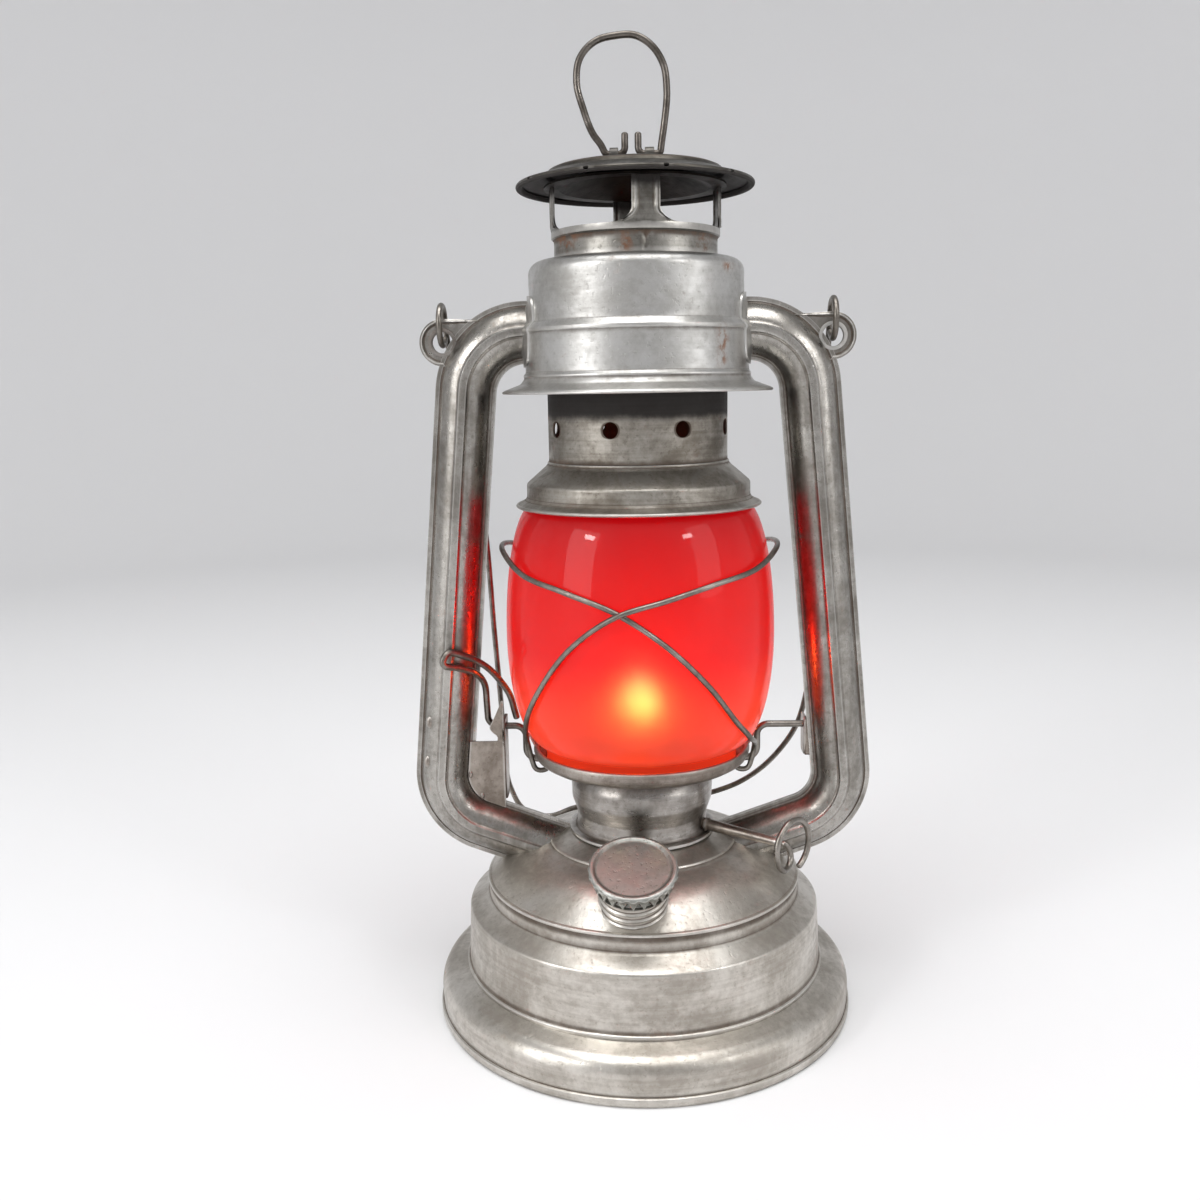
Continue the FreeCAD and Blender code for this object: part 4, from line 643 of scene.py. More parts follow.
def quarter(start, low, side, high, count=40):
    """Points of a quarter ellipse from (start, low) to (side, high), even in angle."""
    angle = np.linspace(0, np.pi / 2, count)
    return joined(start + (side - start) * np.sin(angle), high + (low - high) * np.cos(angle))


globe_chain = np.vstack([
    outline((28.9, 83.1), (31.0, 83.1, 0.7), (31.0, 89.2, 0.6), (SHELF_RADIUS, SHELF)),
    quarter(SHELF_RADIUS, SHELF, BELT_RADIUS, BELT)[1:],
    quarter(MOUTH_RADIUS, MOUTH_FOOT, BELT_RADIUS, BELT)[::-1][1:],
    outline((MOUTH_RADIUS, 168.0), (MOUTH_RADIUS, 173.6, 1.0), (31.0, 173.6, 1.0), (31.0, 168.0)),
    quarter(31.0, 166.0, 40.7, BELT)[1:],
    quarter(30.3, 92.2, 40.7, BELT)[::-1][1:],
    outline((28.9, 90.2), (28.8, 88.0, 1.0), (28.8, 83.5)),
])
globe = turned(globe_chain, 160)
print("globe", len(globe[1]), "faces")

# %% [markdown]
# ## Punched sheet
#
# Vents and the chimney's round holes are punched before the sheet is formed. So each is drawn in
# the sheet's own flat map, angle by distance along the outline: a cell with a round hole, whose
# rings go from the circle out to the cell's square border and meet its neighbours there.


# %% Cells of a flat map
def plain(angles, along):
    """A grid over the map."""
    u, v = np.meshgrid(angles, along)
    return joined(u, v).reshape(-1, 2), grid_faces(len(along), len(angles))


def punched(left, right, low, high, half_angle, half_length, count, rings=3):
    """A cell with a hole at its middle: points go from the hole's circle to the square border,
    whose sides have count steps each."""
    step = np.linspace(-1, 1, count + 1)[:-1]
    one = np.ones(count)
    square = np.stack([
        np.concatenate([step, one, -step, -one]), np.concatenate([-one, step, one, -step]),
    ])
    angle = np.concatenate([step * np.pi / 4 + turn * np.pi / 2 - np.pi / 2 for turn in range(4)])
    circle = np.stack([np.cos(angle) * half_angle, np.sin(angle) * half_length])
    middle = np.array([(left + right) / 2, (low + high) / 2])[:, None]
    border = middle + square * np.array([(right - left) / 2, (high - low) / 2])[:, None]
    share = np.linspace(0, 1, rings + 1)[:, None, None]
    points = (middle + circle) * (1 - share) + border * share
    return points.transpose(0, 2, 1).reshape(-1, 2), grid_faces(rings + 1, count * 4, around=True)


def formed(chain, thickness, *cells, relief=None):
    """Rolls a flat map round the axis and closes it with its inner side. A point's radius and
    height come from the chain at its distance along it, moved out by the relief if there is one."""
    flat, faces = together(*cells)
    along = lengths_along(chain)
    ahead = np.gradient(chain, axis=0)
    ahead /= np.linalg.norm(ahead, axis=1, keepdims=True)
    radius, height, rise, fall = (
        np.interp(flat[:, 1], along, values) for values in (*chain.T, ahead[:, 1], ahead[:, 0])
    )
    if relief is not None:
        radius = radius + relief(flat[:, 0], height)
    angle = flat[:, 0]

    def placed(depth):
        return spun(angle, radius - rise * depth, height + fall * depth)

    return shell(placed(0.0), placed(thickness), faces)


def ring_of_cells(count, turn, middle, high, half_length, radius, steps, rings=3):
    """Punched cells side by side all round, at a distance along the chain."""
    width = 2 * np.pi / count
    hole = (half_length / radius, half_length, steps, rings)
    centres = [math.radians(turn) + index * width for index in range(count)]
    return [
        punched(centre - width / 2, centre + width / 2, middle - high, middle + high, *hole)
        for centre in centres
    ]


def around(count, turn, steps):
    """The angles at which a ring of cells has points on its border."""
    start = math.radians(turn) - np.pi / count
    return np.linspace(start, start + 2 * np.pi, count * steps + 1)


def stops(chain, low, high):
    """The distances of a chain's own points between two distances, with both ends."""
    along = lengths_along(chain)
    inside = along[(along > low + 0.02) & (along < high - 0.02)]
    return np.concatenate([[low], inside, [high]])


def vented(chain, count, turn, middle, high, half_length, radius, steps, rings):
    """One ring of punched cells, with plain sheet before it and after it along the chain."""
    angles = around(count, turn, steps)
    return [
        *ring_of_cells(count, turn, middle, high, half_length, radius, steps, rings),
        plain(angles, stops(chain, 0.0, middle - high)),
        plain(angles, stops(chain, middle + high, lengths_along(chain)[-1])),
    ]


print("one punched cell:", len(punched(0, 1, 0, 1, 0.3, 0.3, 5)[1]), "faces")

# %% Plate
PLATE_START, VENT_COUNT, VENT_STEPS = 15.2, 22, 5
VENT_RADII, CELL_HALF, VENT_HALF = (18.2, 21.4, 24.6), 1.6, 1.1
plate_chain = outline(
    (PLATE_START, 82.5), (31.6, 82.5, 2), (34.6, 84.3, 2.4), (35.35, 86.4, 2), (35.1, 88.05, 0.6),
    (34.3, 88.3, 0.4), (33.7, 87.7, 0.3),
)
plate_length = lengths_along(plate_chain)[-1]
angles = around(VENT_COUNT, 0, VENT_STEPS)
plate_cells = []
for radius in VENT_RADII:
    middle = radius - PLATE_START
    plate_cells += ring_of_cells(VENT_COUNT, 0, middle, CELL_HALF, VENT_HALF, radius, VENT_STEPS)
for low, high in ((0.0, 1.4), (11.0, plate_length)):
    plate_cells.append(plain(angles, stops(plate_chain, low, high)))
plate = formed(plate_chain, 0.55, *plate_cells)


def chord(radius, x):
    """The height of a circle at x from its middle: the root of its radius squared less x squared."""
    return np.sqrt(np.clip(radius**2 - x**2, 0, None))


def plate_of(outer, inner, around=False):
    """A plate between its two sides, each given as rows of points."""
    return shell(outer.reshape(-1, 3), inner.reshape(-1, 3), grid_faces(*outer.shape[:2], around))


def tab(side):
    """An upright tab on the plate's rim: a leaning strip of the rim's circle with a round top."""
    half, rim, foot = 4.5, 34.3, 87.0
    s, t = np.meshgrid(np.linspace(-1, 1, 21), np.linspace(0, 1, 15))
    top = 92.2 - half + chord(half, s * half)
    height = foot + (top - foot) * t
    radius = rim + 3.05 * (height - 86.4) / 5.8
    angle = s * half / rim + (np.pi if side < 0 else 0)
    return plate_of(spun(angle, radius, height), spun(angle, radius - 0.6, height))


tabs = together(tab(-1), tab(1))
add("plate", together(plate, tabs), "globe_carriage", plate_tin, ["globe_plate"])

# %% Chimney
NECK_RADIUS, NECK_TOP, HOLE_HEIGHT = 27.95, 204.2, 190.2
chimney_chain = outline(
    (38.5, 166.2), (38, 167, 0.3), (35.7, 168.2, 0.8), (35.15, 169.2, 0.6), (35.1, 173.3, 1.5),
    (29.2, 178.4, 1.5), (28.4, 179.3, 0.3), (28.35, 179.9, 0.3), (NECK_RADIUS, 180.2, 0.3),
    (NECK_RADIUS, NECK_TOP, 0.5), (24.2, 204.3, 0.5), (24.2, 247.0),
)
hole_at = float(np.interp(HOLE_HEIGHT, chimney_chain[:, 1], lengths_along(chimney_chain)))


def bell(x, width):
    """A bump that is 1 at x = 0: e to the minus the square of x over the width."""
    return np.exp(-((x / width) ** 2))


def crimps(angle, height):
    """Sixty small flutes where the neck joins the cone."""
    return 0.10 * np.sin(60 * angle) * bell(height - 179.7, 0.7)


neck_cells = vented(
    chimney_chain, count=8, turn=-106.7, middle=hole_at, high=4.2, half_length=2.4,
    radius=NECK_RADIUS, steps=14, rings=12,
)
chimney = formed(chimney_chain, 0.55, *neck_cells, relief=crimps)
lip_bead = outline(
    (37.7, 166.5), (38.2, 165.9, 0.5), (38.78, 166.5, 0.5), (38.2, 167.1, 0.5), (37.8, 166.9),
)
points, faces = together(chimney, turned(lip_bead))
inward = np.hypot(points[:, 0], points[:, 1]) < 27.6
height = points[:, 2]
# Painted shadow: the neck darkens upwards from 190.5 mm under the air chamber's flange. Its inside is
# sooty.
soot = ramp(height - 190.5, 6) * (height < 205) + inward * 0.9
add("chimney_pipe", (points, faces), "chimney", chimney_tin, ["chimney_tube"], soot=soot)

# %% [markdown]
# ## Air chamber
#
# Two drums, one pressed over the other, with a flared flange below and a round shoulder above.
# The fine double line at their seam and the bead under it are in the outline, and a few rust
# stains sit where the real ones do.

# %% Chamber
def patches(points, *spots):
    """Soft stains, each a bell over its width times a bell over its height."""
    total = np.zeros(len(points))
    for x, y, z, wide, high in spots:
        across = np.hypot(points[:, 0] - x, points[:, 1] - y)
        total += bell(across, wide) * bell(points[:, 2] - z, high)
    return np.minimum(total, 1.0)


chamber_chain = outline(
    (41.6, 201.45), (41.3, 202, 0.2), (36.2, 203.9, 1.5), (34.9, 205.6, 0.6), (35.3, 206.3, 0.5),
    (34.5, 207.4, 0.8), (34.35, 219, 0.2), (34.75, 219.4, 0.3), (34.7, 220.3, 0.35), (32.95, 222.2, 1),
    (32.9, 240.26, 4.4), (25.05, 240.2),
)
chamber_inside = outline(
    (25.05, 239.6), (32.3, 239.6, 3.8), (32.3, 220.4, 0.5), (33.75, 219.0, 0.3), (33.8, 205.8, 0.5),
    (35.9, 203.3, 1.5), (41.2, 201.0, 0.2),
)
flange_bead = outline(
    (41.2, 201.2), (41.5, 200.8, 0.3), (42.05, 201.3, 0.35), (41.6, 201.9, 0.3), (41.2, 201.8),
)
chamber = together(turned(np.vstack([chamber_chain, chamber_inside]), 160), turned(flange_bead))
stain = patches(
    chamber[0], (25.2, -24.0, 215.5, 2.6, 4.2), (24.6, -24.6, 210.0, 2.2, 1.6),
    (27.0, -19.0, 236.5, 3.0, 1.5),
)
add("chamber", chamber, "lantern_frame", hood_tin, ["air_chamber", "chamber_hood"], stain=stain)


def chamber_radius(height):
    """The chamber's outer radius at a height."""
    return np.interp(height, chamber_chain[:, 1], chamber_chain[:, 0])


# %% [markdown]
# ## Crown and hat
#
# The crown is one strip rolled round the chimney pipe, with four windows cut out and a bead
# pressed along their edges. The hat is spun: a rolled rim with small vents in it, a slope, and a
# raised dome with soot under it.

# %% Crown
CROWN_TURN = math.radians(-90 + 7.0)
CROWN_RADIUS, WINDOW_FOOT, POST_TOP = 25.45, 248.76, 261.5
POST_CENTRES = [CROWN_TURN + quarter_turn * np.pi / 2 for quarter_turn in range(4)]
POST_POINTS, FOOT_HALF = 25, 10.5
crown_chain = outline(
    (24.85, 240.56), (24.85, 246.3, 0.3), (CROWN_RADIUS, 246.9, 0.3), (CROWN_RADIUS, WINDOW_FOOT),
    (CROWN_RADIUS, POST_TOP),
)
foot_at = float(np.interp(WINDOW_FOOT, crown_chain[:, 1], lengths_along(crown_chain)))


def post_half(height):
    """Half a post's width: an arc from the wide foot to the straight sides."""
    rise = ramp(height - WINDOW_FOOT, 4.2)
    return 4.1 + 6.4 * (1 - np.sqrt(1 - (1 - rise) ** 2))


def post_cells():
    """Each post as a grid on the flat map, from its wide foot up."""
    along = np.concatenate([[0, 0.12, 0.25], np.linspace(0.5, POST_TOP - WINDOW_FOOT, 26)])
    s, v = np.meshgrid(np.linspace(-1, 1, POST_POINTS), along)
    cells = []
    for centre in POST_CENTRES:
        angle = centre + s * post_half(WINDOW_FOOT + v) / CROWN_RADIUS
        cells.append((joined(angle, foot_at + v).reshape(-1, 2), grid_faces(*s.shape)))
    return cells


def crown_angles():
    """Angles round the band that agree with the posts' feet."""
    foot = FOOT_HALF / CROWN_RADIUS
    quarters = []
    for centre in POST_CENTRES:
        quarters += [np.linspace(centre - foot, centre + foot, POST_POINTS)[:-1]]
        quarters += [np.linspace(centre + foot, centre + np.pi / 2 - foot, 17)[:-1]]
    return np.concatenate(quarters + [[CROWN_TURN - foot + 2 * np.pi]])


def crown_relief(angle, height):
    """A bead along the windows' edges, and a shallow crease under the front post."""
    off = (angle - CROWN_TURN + np.pi / 4) % (np.pi / 2) - np.pi / 4
    inside = post_half(height) - np.abs(off) * CROWN_RADIUS
    bead = 0.60 * bell(inside - 1.2, 0.6) * (height > WINDOW_FOOT + 0.3)
    sill = 0.60 * bell(height - WINDOW_FOOT + 0.9, 0.8) * (inside < 12)
    front = np.abs(angle - CROWN_TURN) * CROWN_RADIUS
    half = 0.5 + 1.6 * (1 - ramp(246.9 - height, 5))
    notch = np.clip(1 - front / half, 0, 1) * (height > 241.5) * (height < 248)
    return bead + sill - 0.55 * notch


band = plain(crown_angles(), stops(crown_chain, 0.0, foot_at))
crown = formed(crown_chain, 0.5, band, *post_cells(), relief=crown_relief)
x, y, height = crown[0].T
inward = (np.hypot(x, y) < 24.9) * (height > 247)
# Painted shade: the crown darkens towards its top under the hat. Its inside over the pipe is sooty.
soot = ramp(height - 255.5, 5) * 0.8 + inward * 0.9
stain = patches(
    crown[0], (-20.5, -14.5, 244.5, 5.0, 2.5), (20.0, -15.0, 243.5, 4.0, 2.0),
    (-2.6, -25.0, 243.0, 2.0, 2.5),
)
add("crown_strip", crown, "chimney", crown_tin, ["crown"], soot=soot, stain=stain)

# %% Hat
hat_chain = outline(
    (33.7, 262.2), (34.3, 261.2, 0.6), (35.9, 261.0, 0.75), (36.08, 262.6, 0.75), (34.6, 262.85, 0.8),
    (26.9, 265.3, 0.6), (26.2, 266.4, 0.5), (24.9, 266.95, 1.0), (10.6, 269.4, 3), (0.02, 269.46),
)
widest = np.argmax(hat_chain[:, 0])
vent_at = float(lengths_along(hat_chain)[widest]) + 0.3
hat_cells = vented(
    hat_chain, count=10, turn=-112.0, middle=vent_at, high=1.05, half_length=0.8, radius=36.0,
    steps=16, rings=8,
)
hat = formed(hat_chain, 0.45, *hat_cells)
reach = np.hypot(hat[0][:, 0], hat[0][:, 1])
top = hat_chain[widest:][::-1]
under = hat[0][:, 2] < np.interp(reach, top[:, 0], top[:, 1]) - 0.25
soot = under + ramp(reach - 34.4, 1.6) * 0.35
add("hat_top", hat, "chimney", hat_tin, ["hat"], soot=soot, sharp=50)

# %% [markdown]
# ## Air tubes
#
# Each tube is pressed in two halves with flat seam flanges, a round body and a rib down its
# middle. A half is one cross-section carried along the tube's line, and each of its columns is
# trimmed where it meets the chamber and the dome, so the joints are tight from every side. An
# eyelet in each ear carries the bail, and a flange closes each tube's mouth.

# %% Tubes
LEAN, DIP = math.radians(5.35), math.radians(20.0)
TUBE_MOUTH, TUBE_RADIUS, TUBE_INSIDE = 219.66, 7.6, 7.0
TOP_BEND, LOW_BEND, BEND_START = 19.0, 18.0, 34.5
EAR_X, EAR_HEIGHT = 60.2, TUBE_MOUTH - 2.6
outward = np.array([math.cos(LEAN), math.sin(LEAN)])
top_centre = np.array([BEND_START, TUBE_MOUTH - TOP_BEND])
leg_start = top_centre + outward * TOP_BEND
leg_length = (leg_start[1] - 79.0) / math.cos(LEAN)
leg_end = leg_start + np.array([math.sin(LEAN), -math.cos(LEAN)]) * leg_length
low_centre = leg_end - outward * LOW_BEND


def soft_step(x, width):
    """From 0 to 1 about x = 0: 1 / (1 + e^(-x / width))."""
    return 1 / (1 + np.exp(-x / width))


def half_section():
    """One half's cross-section from the inner flange to the outer: places across, and the depth
    outside and inside.

    Outside it is a flat flange, a fillet, a circle with a rib raised in the middle, and the outer
    flange folded over to a thicker hem.
    """
    arc = TUBE_RADIUS * np.sin(np.linspace(-1.46, 1.46, 59))
    across = np.concatenate([np.linspace(-9.5, -7.9, 5), arc, np.linspace(7.9, 9.5, 9)])
    off = np.abs(across)
    flange = 0.6 + 0.45 * soft_step(across - 8.1, 0.06)
    body = np.maximum(chord(TUBE_RADIUS, across), flange)
    relief = 0.35 * bell(off - 7.75, 0.35) + 0.7 * soft_step(1.45 - off, 0.10)
    return across, body + relief, chord(TUBE_INSIDE, across)


def dome_height(radius):
    """The dome's top surface over a radius."""
    top = TANK[np.argmax(TANK[:, 1] > 44.95) :]
    order = np.argsort(top[:, 0])
    return np.interp(radius, top[order, 0], top[order, 1])


def bend(centre, radius, start, end, count):
    """Rows of a bend: from its centre, radius times sine outwards and radius times cosine up."""
    turn = np.linspace(start, end, count)[:, None]
    return joined(centre[0] + radius * np.sin(turn), centre[1] + radius * np.cos(turn))


def tube_surface(across, depth):
    """The half's points, one row for each place along the line and one column for each place
    across. The first rows start on the chamber, and the last ones end on the dome, which is
    found by halving a span thirty times."""
    start = np.sqrt(chamber_radius(TUBE_MOUTH + across) ** 2 - depth**2) - 0.3
    share = np.linspace(0, 1, 4)[:-1, None]
    first = joined(start + (BEND_START - start) * share, TUBE_MOUTH + across)
    top = bend(top_centre, TOP_BEND + across, 0, np.pi / 2 - LEAN, 34)
    leg = top[-1] + (leg_end - leg_start) * np.linspace(0, 1, 44)[1:-1, None, None]
    low = bend(low_centre, LOW_BEND + across, np.pi / 2 - LEAN, np.pi - DIP, 36)
    along = np.array([-math.cos(DIP), -math.sin(DIP)])
    near, far = np.zeros(len(across)), np.full(len(across), 60.0)
    for _ in range(30):
        middle = (near + far) / 2
        place = low[-1] + middle[:, None] * along
        above = place[:, 1] > dome_height(np.hypot(place[:, 0], depth)) - 0.15
        near, far = np.where(above, middle, near), np.where(above, far, middle)
    run = low[-1] + along * (near[:, None] * np.linspace(0, 1, 22)[1:, None, None])
    rows = np.concatenate([first, top, leg, low, run])
    return joined(rows[..., 0], -depth, rows[..., 1])


def washer(hole, reach, rings):
    """Radii in rings from a round hole out to a border that is given as its reach."""
    return hole + (reach - hole) * np.linspace(0, 1, rings)[:, None]


def ear(depth_low, depth_high):
    """The bail's ear: a patch with a round hole, between two depths, and a rim along its edge."""
    half_turn = np.linspace(0, np.pi, 40)
    foot = [(-3.6, -10.8), (-6.7, -7.2), (-13.9, 6.6)]
    edge = even(np.vstack([foot[-1:], 7.2 * joined(np.sin(half_turn), np.cos(half_turn)), foot]), 0.15)
    azimuth = np.arctan2(edge[:, 1], edge[:, 0])
    order = np.argsort(azimuth)
    angle = circle(96)
    reach = np.interp(angle, azimuth[order], np.hypot(*edge.T)[order], period=2 * np.pi)
    radius = washer(3.75, reach, 30)
    rim = 0.75 * bell(reach - radius - 0.75, 0.5)
    x, z = EAR_X + radius * np.cos(angle), EAR_HEIGHT + radius * np.sin(angle)
    return plate_of(joined(x, -depth_high - rim, z), joined(x, -depth_low, z), around=True)


def mirrored(surface, x=1, y=1):
    """The surface with its coordinates times 1 or -1."""
    points, faces = surface
    return points * np.array([x, y, 1.0]), faces


across, depth, inside = half_section()
outer, inner = tube_surface(across, depth), tube_surface(across, inside)
half = together(plate_of(outer, inner), ear(0.0, 0.62))
SIDES = (("right", 1), ("left", -1))
for side, x in SIDES:
    for face, y in (("front", 1), ("rear", -1)):
        name, node = f"tube_{side}_{face}_half", f"tube_{side}_{face}"
        add(name, mirrored(half, x, y), "lantern_frame", tube_tin, [node])


# %% Saddles and eyelets
def squarish(angle, wide, high, power):
    """The reach of a rounded rectangle: (|cos / wide|^power + |sin / high|^power)^(-1 / power)."""
    total = np.abs(np.cos(angle) / wide) ** power + np.abs(np.sin(angle) / high) ** power
    return total ** (-1 / power)


def saddle():
    """The flange round a tube's mouth: rings from the tube's circle out to a rounded rectangle,
    laid on the chamber, where x is the square root of its radius squared less y squared."""
    angle = circle(120)
    radius = washer(7.55, squarish(angle, 12.6, 10.6, 5), 9)
    y, z = radius * np.cos(angle), TUBE_MOUTH + radius * np.sin(angle)
    lift = 0.65 + 0.5 * bell(radius - TUBE_RADIUS, 0.7)

    def laid(depth):
        return joined(chord(chamber_radius(z) + depth, y), y, z)

    return plate_of(laid(lift), laid(0.04), around=True)


def eyelet():
    """A flanged tube through the ear, turned and then laid along Y."""
    ring = outline(
        (3.2, -0.6), (3.25, -1.1, 0.4), (4.4, -1.15, 0.3), (4.5, -0.62, 0.2), (3.75, -0.6),
        (3.75, 0.6), (4.5, 0.62, 0.2), (4.4, 1.15, 0.3), (3.25, 1.1, 0.4),
    )
    points, faces = turned(ring, 48)
    return points[:, [0, 2, 1]] + np.array([EAR_X, 0, EAR_HEIGHT]), faces


for side, x in SIDES:
    name, node = f"saddle_{side}", f"mouth_collar_{side}"
    add(name, mirrored(saddle(), x), "lantern_frame", chamber_tin, [node])
add("eyelets", together(eyelet(), mirrored(eyelet(), -1)), "lantern_frame", chamber_tin, ["ear_eyelets"])

# %% [markdown]
# ## Wires
#
# Bail, guard, lever, link, knob and top ring are each one bent wire. A smooth line through a few
# measured points gives the slightly uneven, hand-bent look that a perfect arc would lose.


# %% Guard
PLATE_HEIGHT = 82.5


def guard_run(turn, rise, half, side, extra):
    """Points of the guard: its stand-off from the glass, plus a bow at the high side."""
    turn, height = np.asarray(turn, float), PLATE_HEIGHT + np.asarray(rise, float)
    radius = glass_radius(height) + 1.45 + 2.6 * np.clip(1 - turn / 40, 0, None) + extra
    azimuth = half * turn if side > 0 else 180 - half * turn
    return spun(np.radians(azimuth), radius, height)


def guard_foot(side, y):
    """Down outside the plate's rim, under it and in."""
    radius = 34.2 + 0.6 + 0.6 + 0.85
    azimuth = math.asin(y / radius)
    out = np.array([side * math.cos(azimuth), math.sin(azimuth)])
    steps = [(radius + 0.6, 87.0), (radius, 84.3), (radius - 1.6, 81.05), (radius - 4.6, 81.05)]
    return np.array([(*out * reach, height) for reach, height in steps])


def guard(side, turn, rise, over):
    """High on one side of the globe, crossing in front and behind, with its feet on the other.
    Where the wires cross, over is how far this one stands off to clear the other."""
    turn, rise = np.array(turn, float), np.array(rise, float)
    lift = over * bell(turn - 90 - side * 8, 12)
    front = guard_run(turn, rise, -1, side, lift)[::-1]
    back_turn = np.array([14, 36, 62, 90, 112, 128, 138.0])
    back_rise = np.array([70.4, 66.4, 60.0, 48.4, 33.6, 20.6, 13.6])
    lift = (2.3 - over) * bell(back_turn - 90, 12)
    back = guard_run(back_turn, back_rise, 1, side, lift)
    line = through(np.vstack([guard_foot(-side, -8.0)[::-1], front, back, guard_foot(-side, 20.0)]))
    return swept(line, 0.85)


LEFT_TURN = [14, 36, 60, 82, 98, 116, 134, 148]
LEFT_RISE = [70.4, 65.2, 61.8, 56.2, 48.0, 34.6, 20.0, 13.0]
RIGHT_TURN = [14, 36, 60, 80, 98, 116, 134, 150]
RIGHT_RISE = [70.4, 66.2, 63.6, 60.0, 56.2, 46.4, 31.0, 17.6]
wires = {"left": guard(-1, LEFT_TURN, LEFT_RISE, 0.0), "right": guard(1, RIGHT_TURN, RIGHT_RISE, 2.3)}
for name, wire in wires.items():
    add(f"guard_{name}", wire, "globe_carriage", bright_wire, [f"guard_wire_{name}"], "wire")


# %% Bail
HINGE_HEIGHT, LOOP_RADIUS = 222.262, 6.0


def bail_line():
    """A loop in each ear and a bow that hangs behind: y is 6 plus a fifth of the drop."""
    angle = np.radians(130 + (360 - 40) * np.arange(8) / 7)
    loop = joined(0.0, LOOP_RADIUS * np.sin(angle), HINGE_HEIGHT + LOOP_RADIUS * np.cos(angle))
    legs = np.array([
        (-56.4, 152.0), (-51.6, 112.0), (-50.6, 76.0), (-49.8, 50.0), (-49.4, 30.0), (-48.0, 14.0),
        (-43.0, 4.6), (-35.0, 2.2), (-25.0, 5.6), (-2.0, 9.6), (25.0, 11.6), (36.0, 16.2),
        (43.0, 21.4), (50.0, 29.4), (55.0, 38.0), (58.4, 52.0), (60.0, 80.0), (60.4, 124.0),
    ])
    height = 44.4 + legs[:, 1]
    hanging = joined(legs[:, 0], LOOP_RADIUS + 0.2 * (HINGE_HEIGHT - height), height)
    return through(np.vstack([loop - [EAR_X, 0, 0], hanging, (loop + [EAR_X, 0, 0])[::-1]]))


add("bail_bow", swept(bail_line(), 0.95), "bail_wire", bright_wire, ["bail"], "wire")


# %% Lever and link
PIVOT_Y, PIVOT_HEIGHT = 4.0, 92.4
BRACKET_X = 45.5


def from_pivot(*places):
    return [np.array(place, float) + [0, PIVOT_Y, PIVOT_HEIGHT] for place in places]


CRANK = from_pivot((27.0, 0, -11.4), (38.3, 0, -11.4), (38.3, 0, 0))


def lever_line():
    """The crank under the plate, the pivot, the leg, the thumb loop and the leg back."""
    finger = BRACKET_X + 3.8 + 0.3 + 1.1
    start = rounded([*CRANK, *from_pivot((finger, 0, 0), (finger, -2.6, 9.4))], [3.6] * 5, run=0.7)
    loop = [
        (0.2, -4.6, 15.4), (2.6, -9.4, 20.6), (7.0, -13.6, 23.2), (11.4, -17.4, 26.0),
        (10.6, -16.4, 28.0), (5.0, -12.4, 26.6), (-0.6, -8.4, 22.6), (-5.0, -4.4, 16.4),
    ]
    back = [(-2.5, -1.6, 10.6), (-3.6, -0.4, 5.6), (-4.2, 0.0, 3.0)]
    places = [(finger + x, y, z) for x, y, z in loop] + [(BRACKET_X + x, y, z) for x, y, z in back]
    ahead = start[-1] - start[-2]
    rest = through([start[-1], *from_pivot(*places)], leave=ahead / np.linalg.norm(ahead))
    return np.vstack([start, rest[1:]])


link_line = rounded([*CRANK, *from_pivot((56.2, 0, 0))], [3.6] * 4, run=0.7)
add("lever_wire", mirrored(swept(lever_line(), 1.1), -1), "lever", bright_wire, ["lift_lever"], "wire")
add("link_wire", swept(link_line, 1.1), "link", bright_wire, ["lift_link"], "wire")

# %% [markdown]
# ## Filler
#
# The cap and its neck are made upright on the axis and then tilted to their place in the dome.
# The thread is a true helix: a ridge whose height follows the angle. The cap's grip is a row of
# small triangles pressed into its skirt.

# %% Filler
FILLER_PLACE = np.array([-2.8, -41.2, 52.152])
TILT = math.radians(22.0)
THREAD_PITCH, GRIP_COUNT = 2.57, 24


def rotated(x, y, angle):
    """Two coordinates after a turn in their plane."""
    c, s = math.cos(angle), math.sin(angle)
    return x * c - y * s, x * s + y * c


def on_filler(surface):
    points, faces = surface
    x, y, z = points.T
    return joined(x, *rotated(y, z, TILT)) + FILLER_PLACE, faces


def shaped(surface, change):
    """Moves every point of a turned piece to the radius that change gives for its angle, radius
    and height."""
    points, faces = surface
    radius = np.hypot(points[:, 0], points[:, 1])
    angle = np.arctan2(points[:, 1], points[:, 0])
    scale = change(angle, radius, points[:, 2]) / np.maximum(radius, 1e-6)
    return points * joined(scale, scale, 1.0), faces


def thread(angle, radius, height):
    """A round ridge 0.65 high that climbs one pitch in each turn."""
    phase = (height / THREAD_PITCH - angle / (2 * np.pi)) % 1.0
    ridge = 0.65 * bell(phase - 0.5, 0.17)
    return radius + ridge * (radius > 9.8) * (height > -5.5) * (height < 10.8)


def grip(angle, radius, height):
    """Small triangles, their points up, pressed 1.3 into the skirt, and a wavy rim over them."""
    share = (angle * GRIP_COUNT / (2 * np.pi)) % 1.0 - 0.5
    half = 0.40 * (1 - ramp(height - 7.4, 3.0))
    inside = soft_step(half - np.abs(share), 0.03)
    band = (height > 7.35) * (height < 10.6) * (radius > 11.3)
    wave = 0.20 * np.cos(2 * np.pi * share) * (height > 10.0) * (height < 11.9) * (radius > 11.8)
    return radius - 1.3 * inside * band - wave


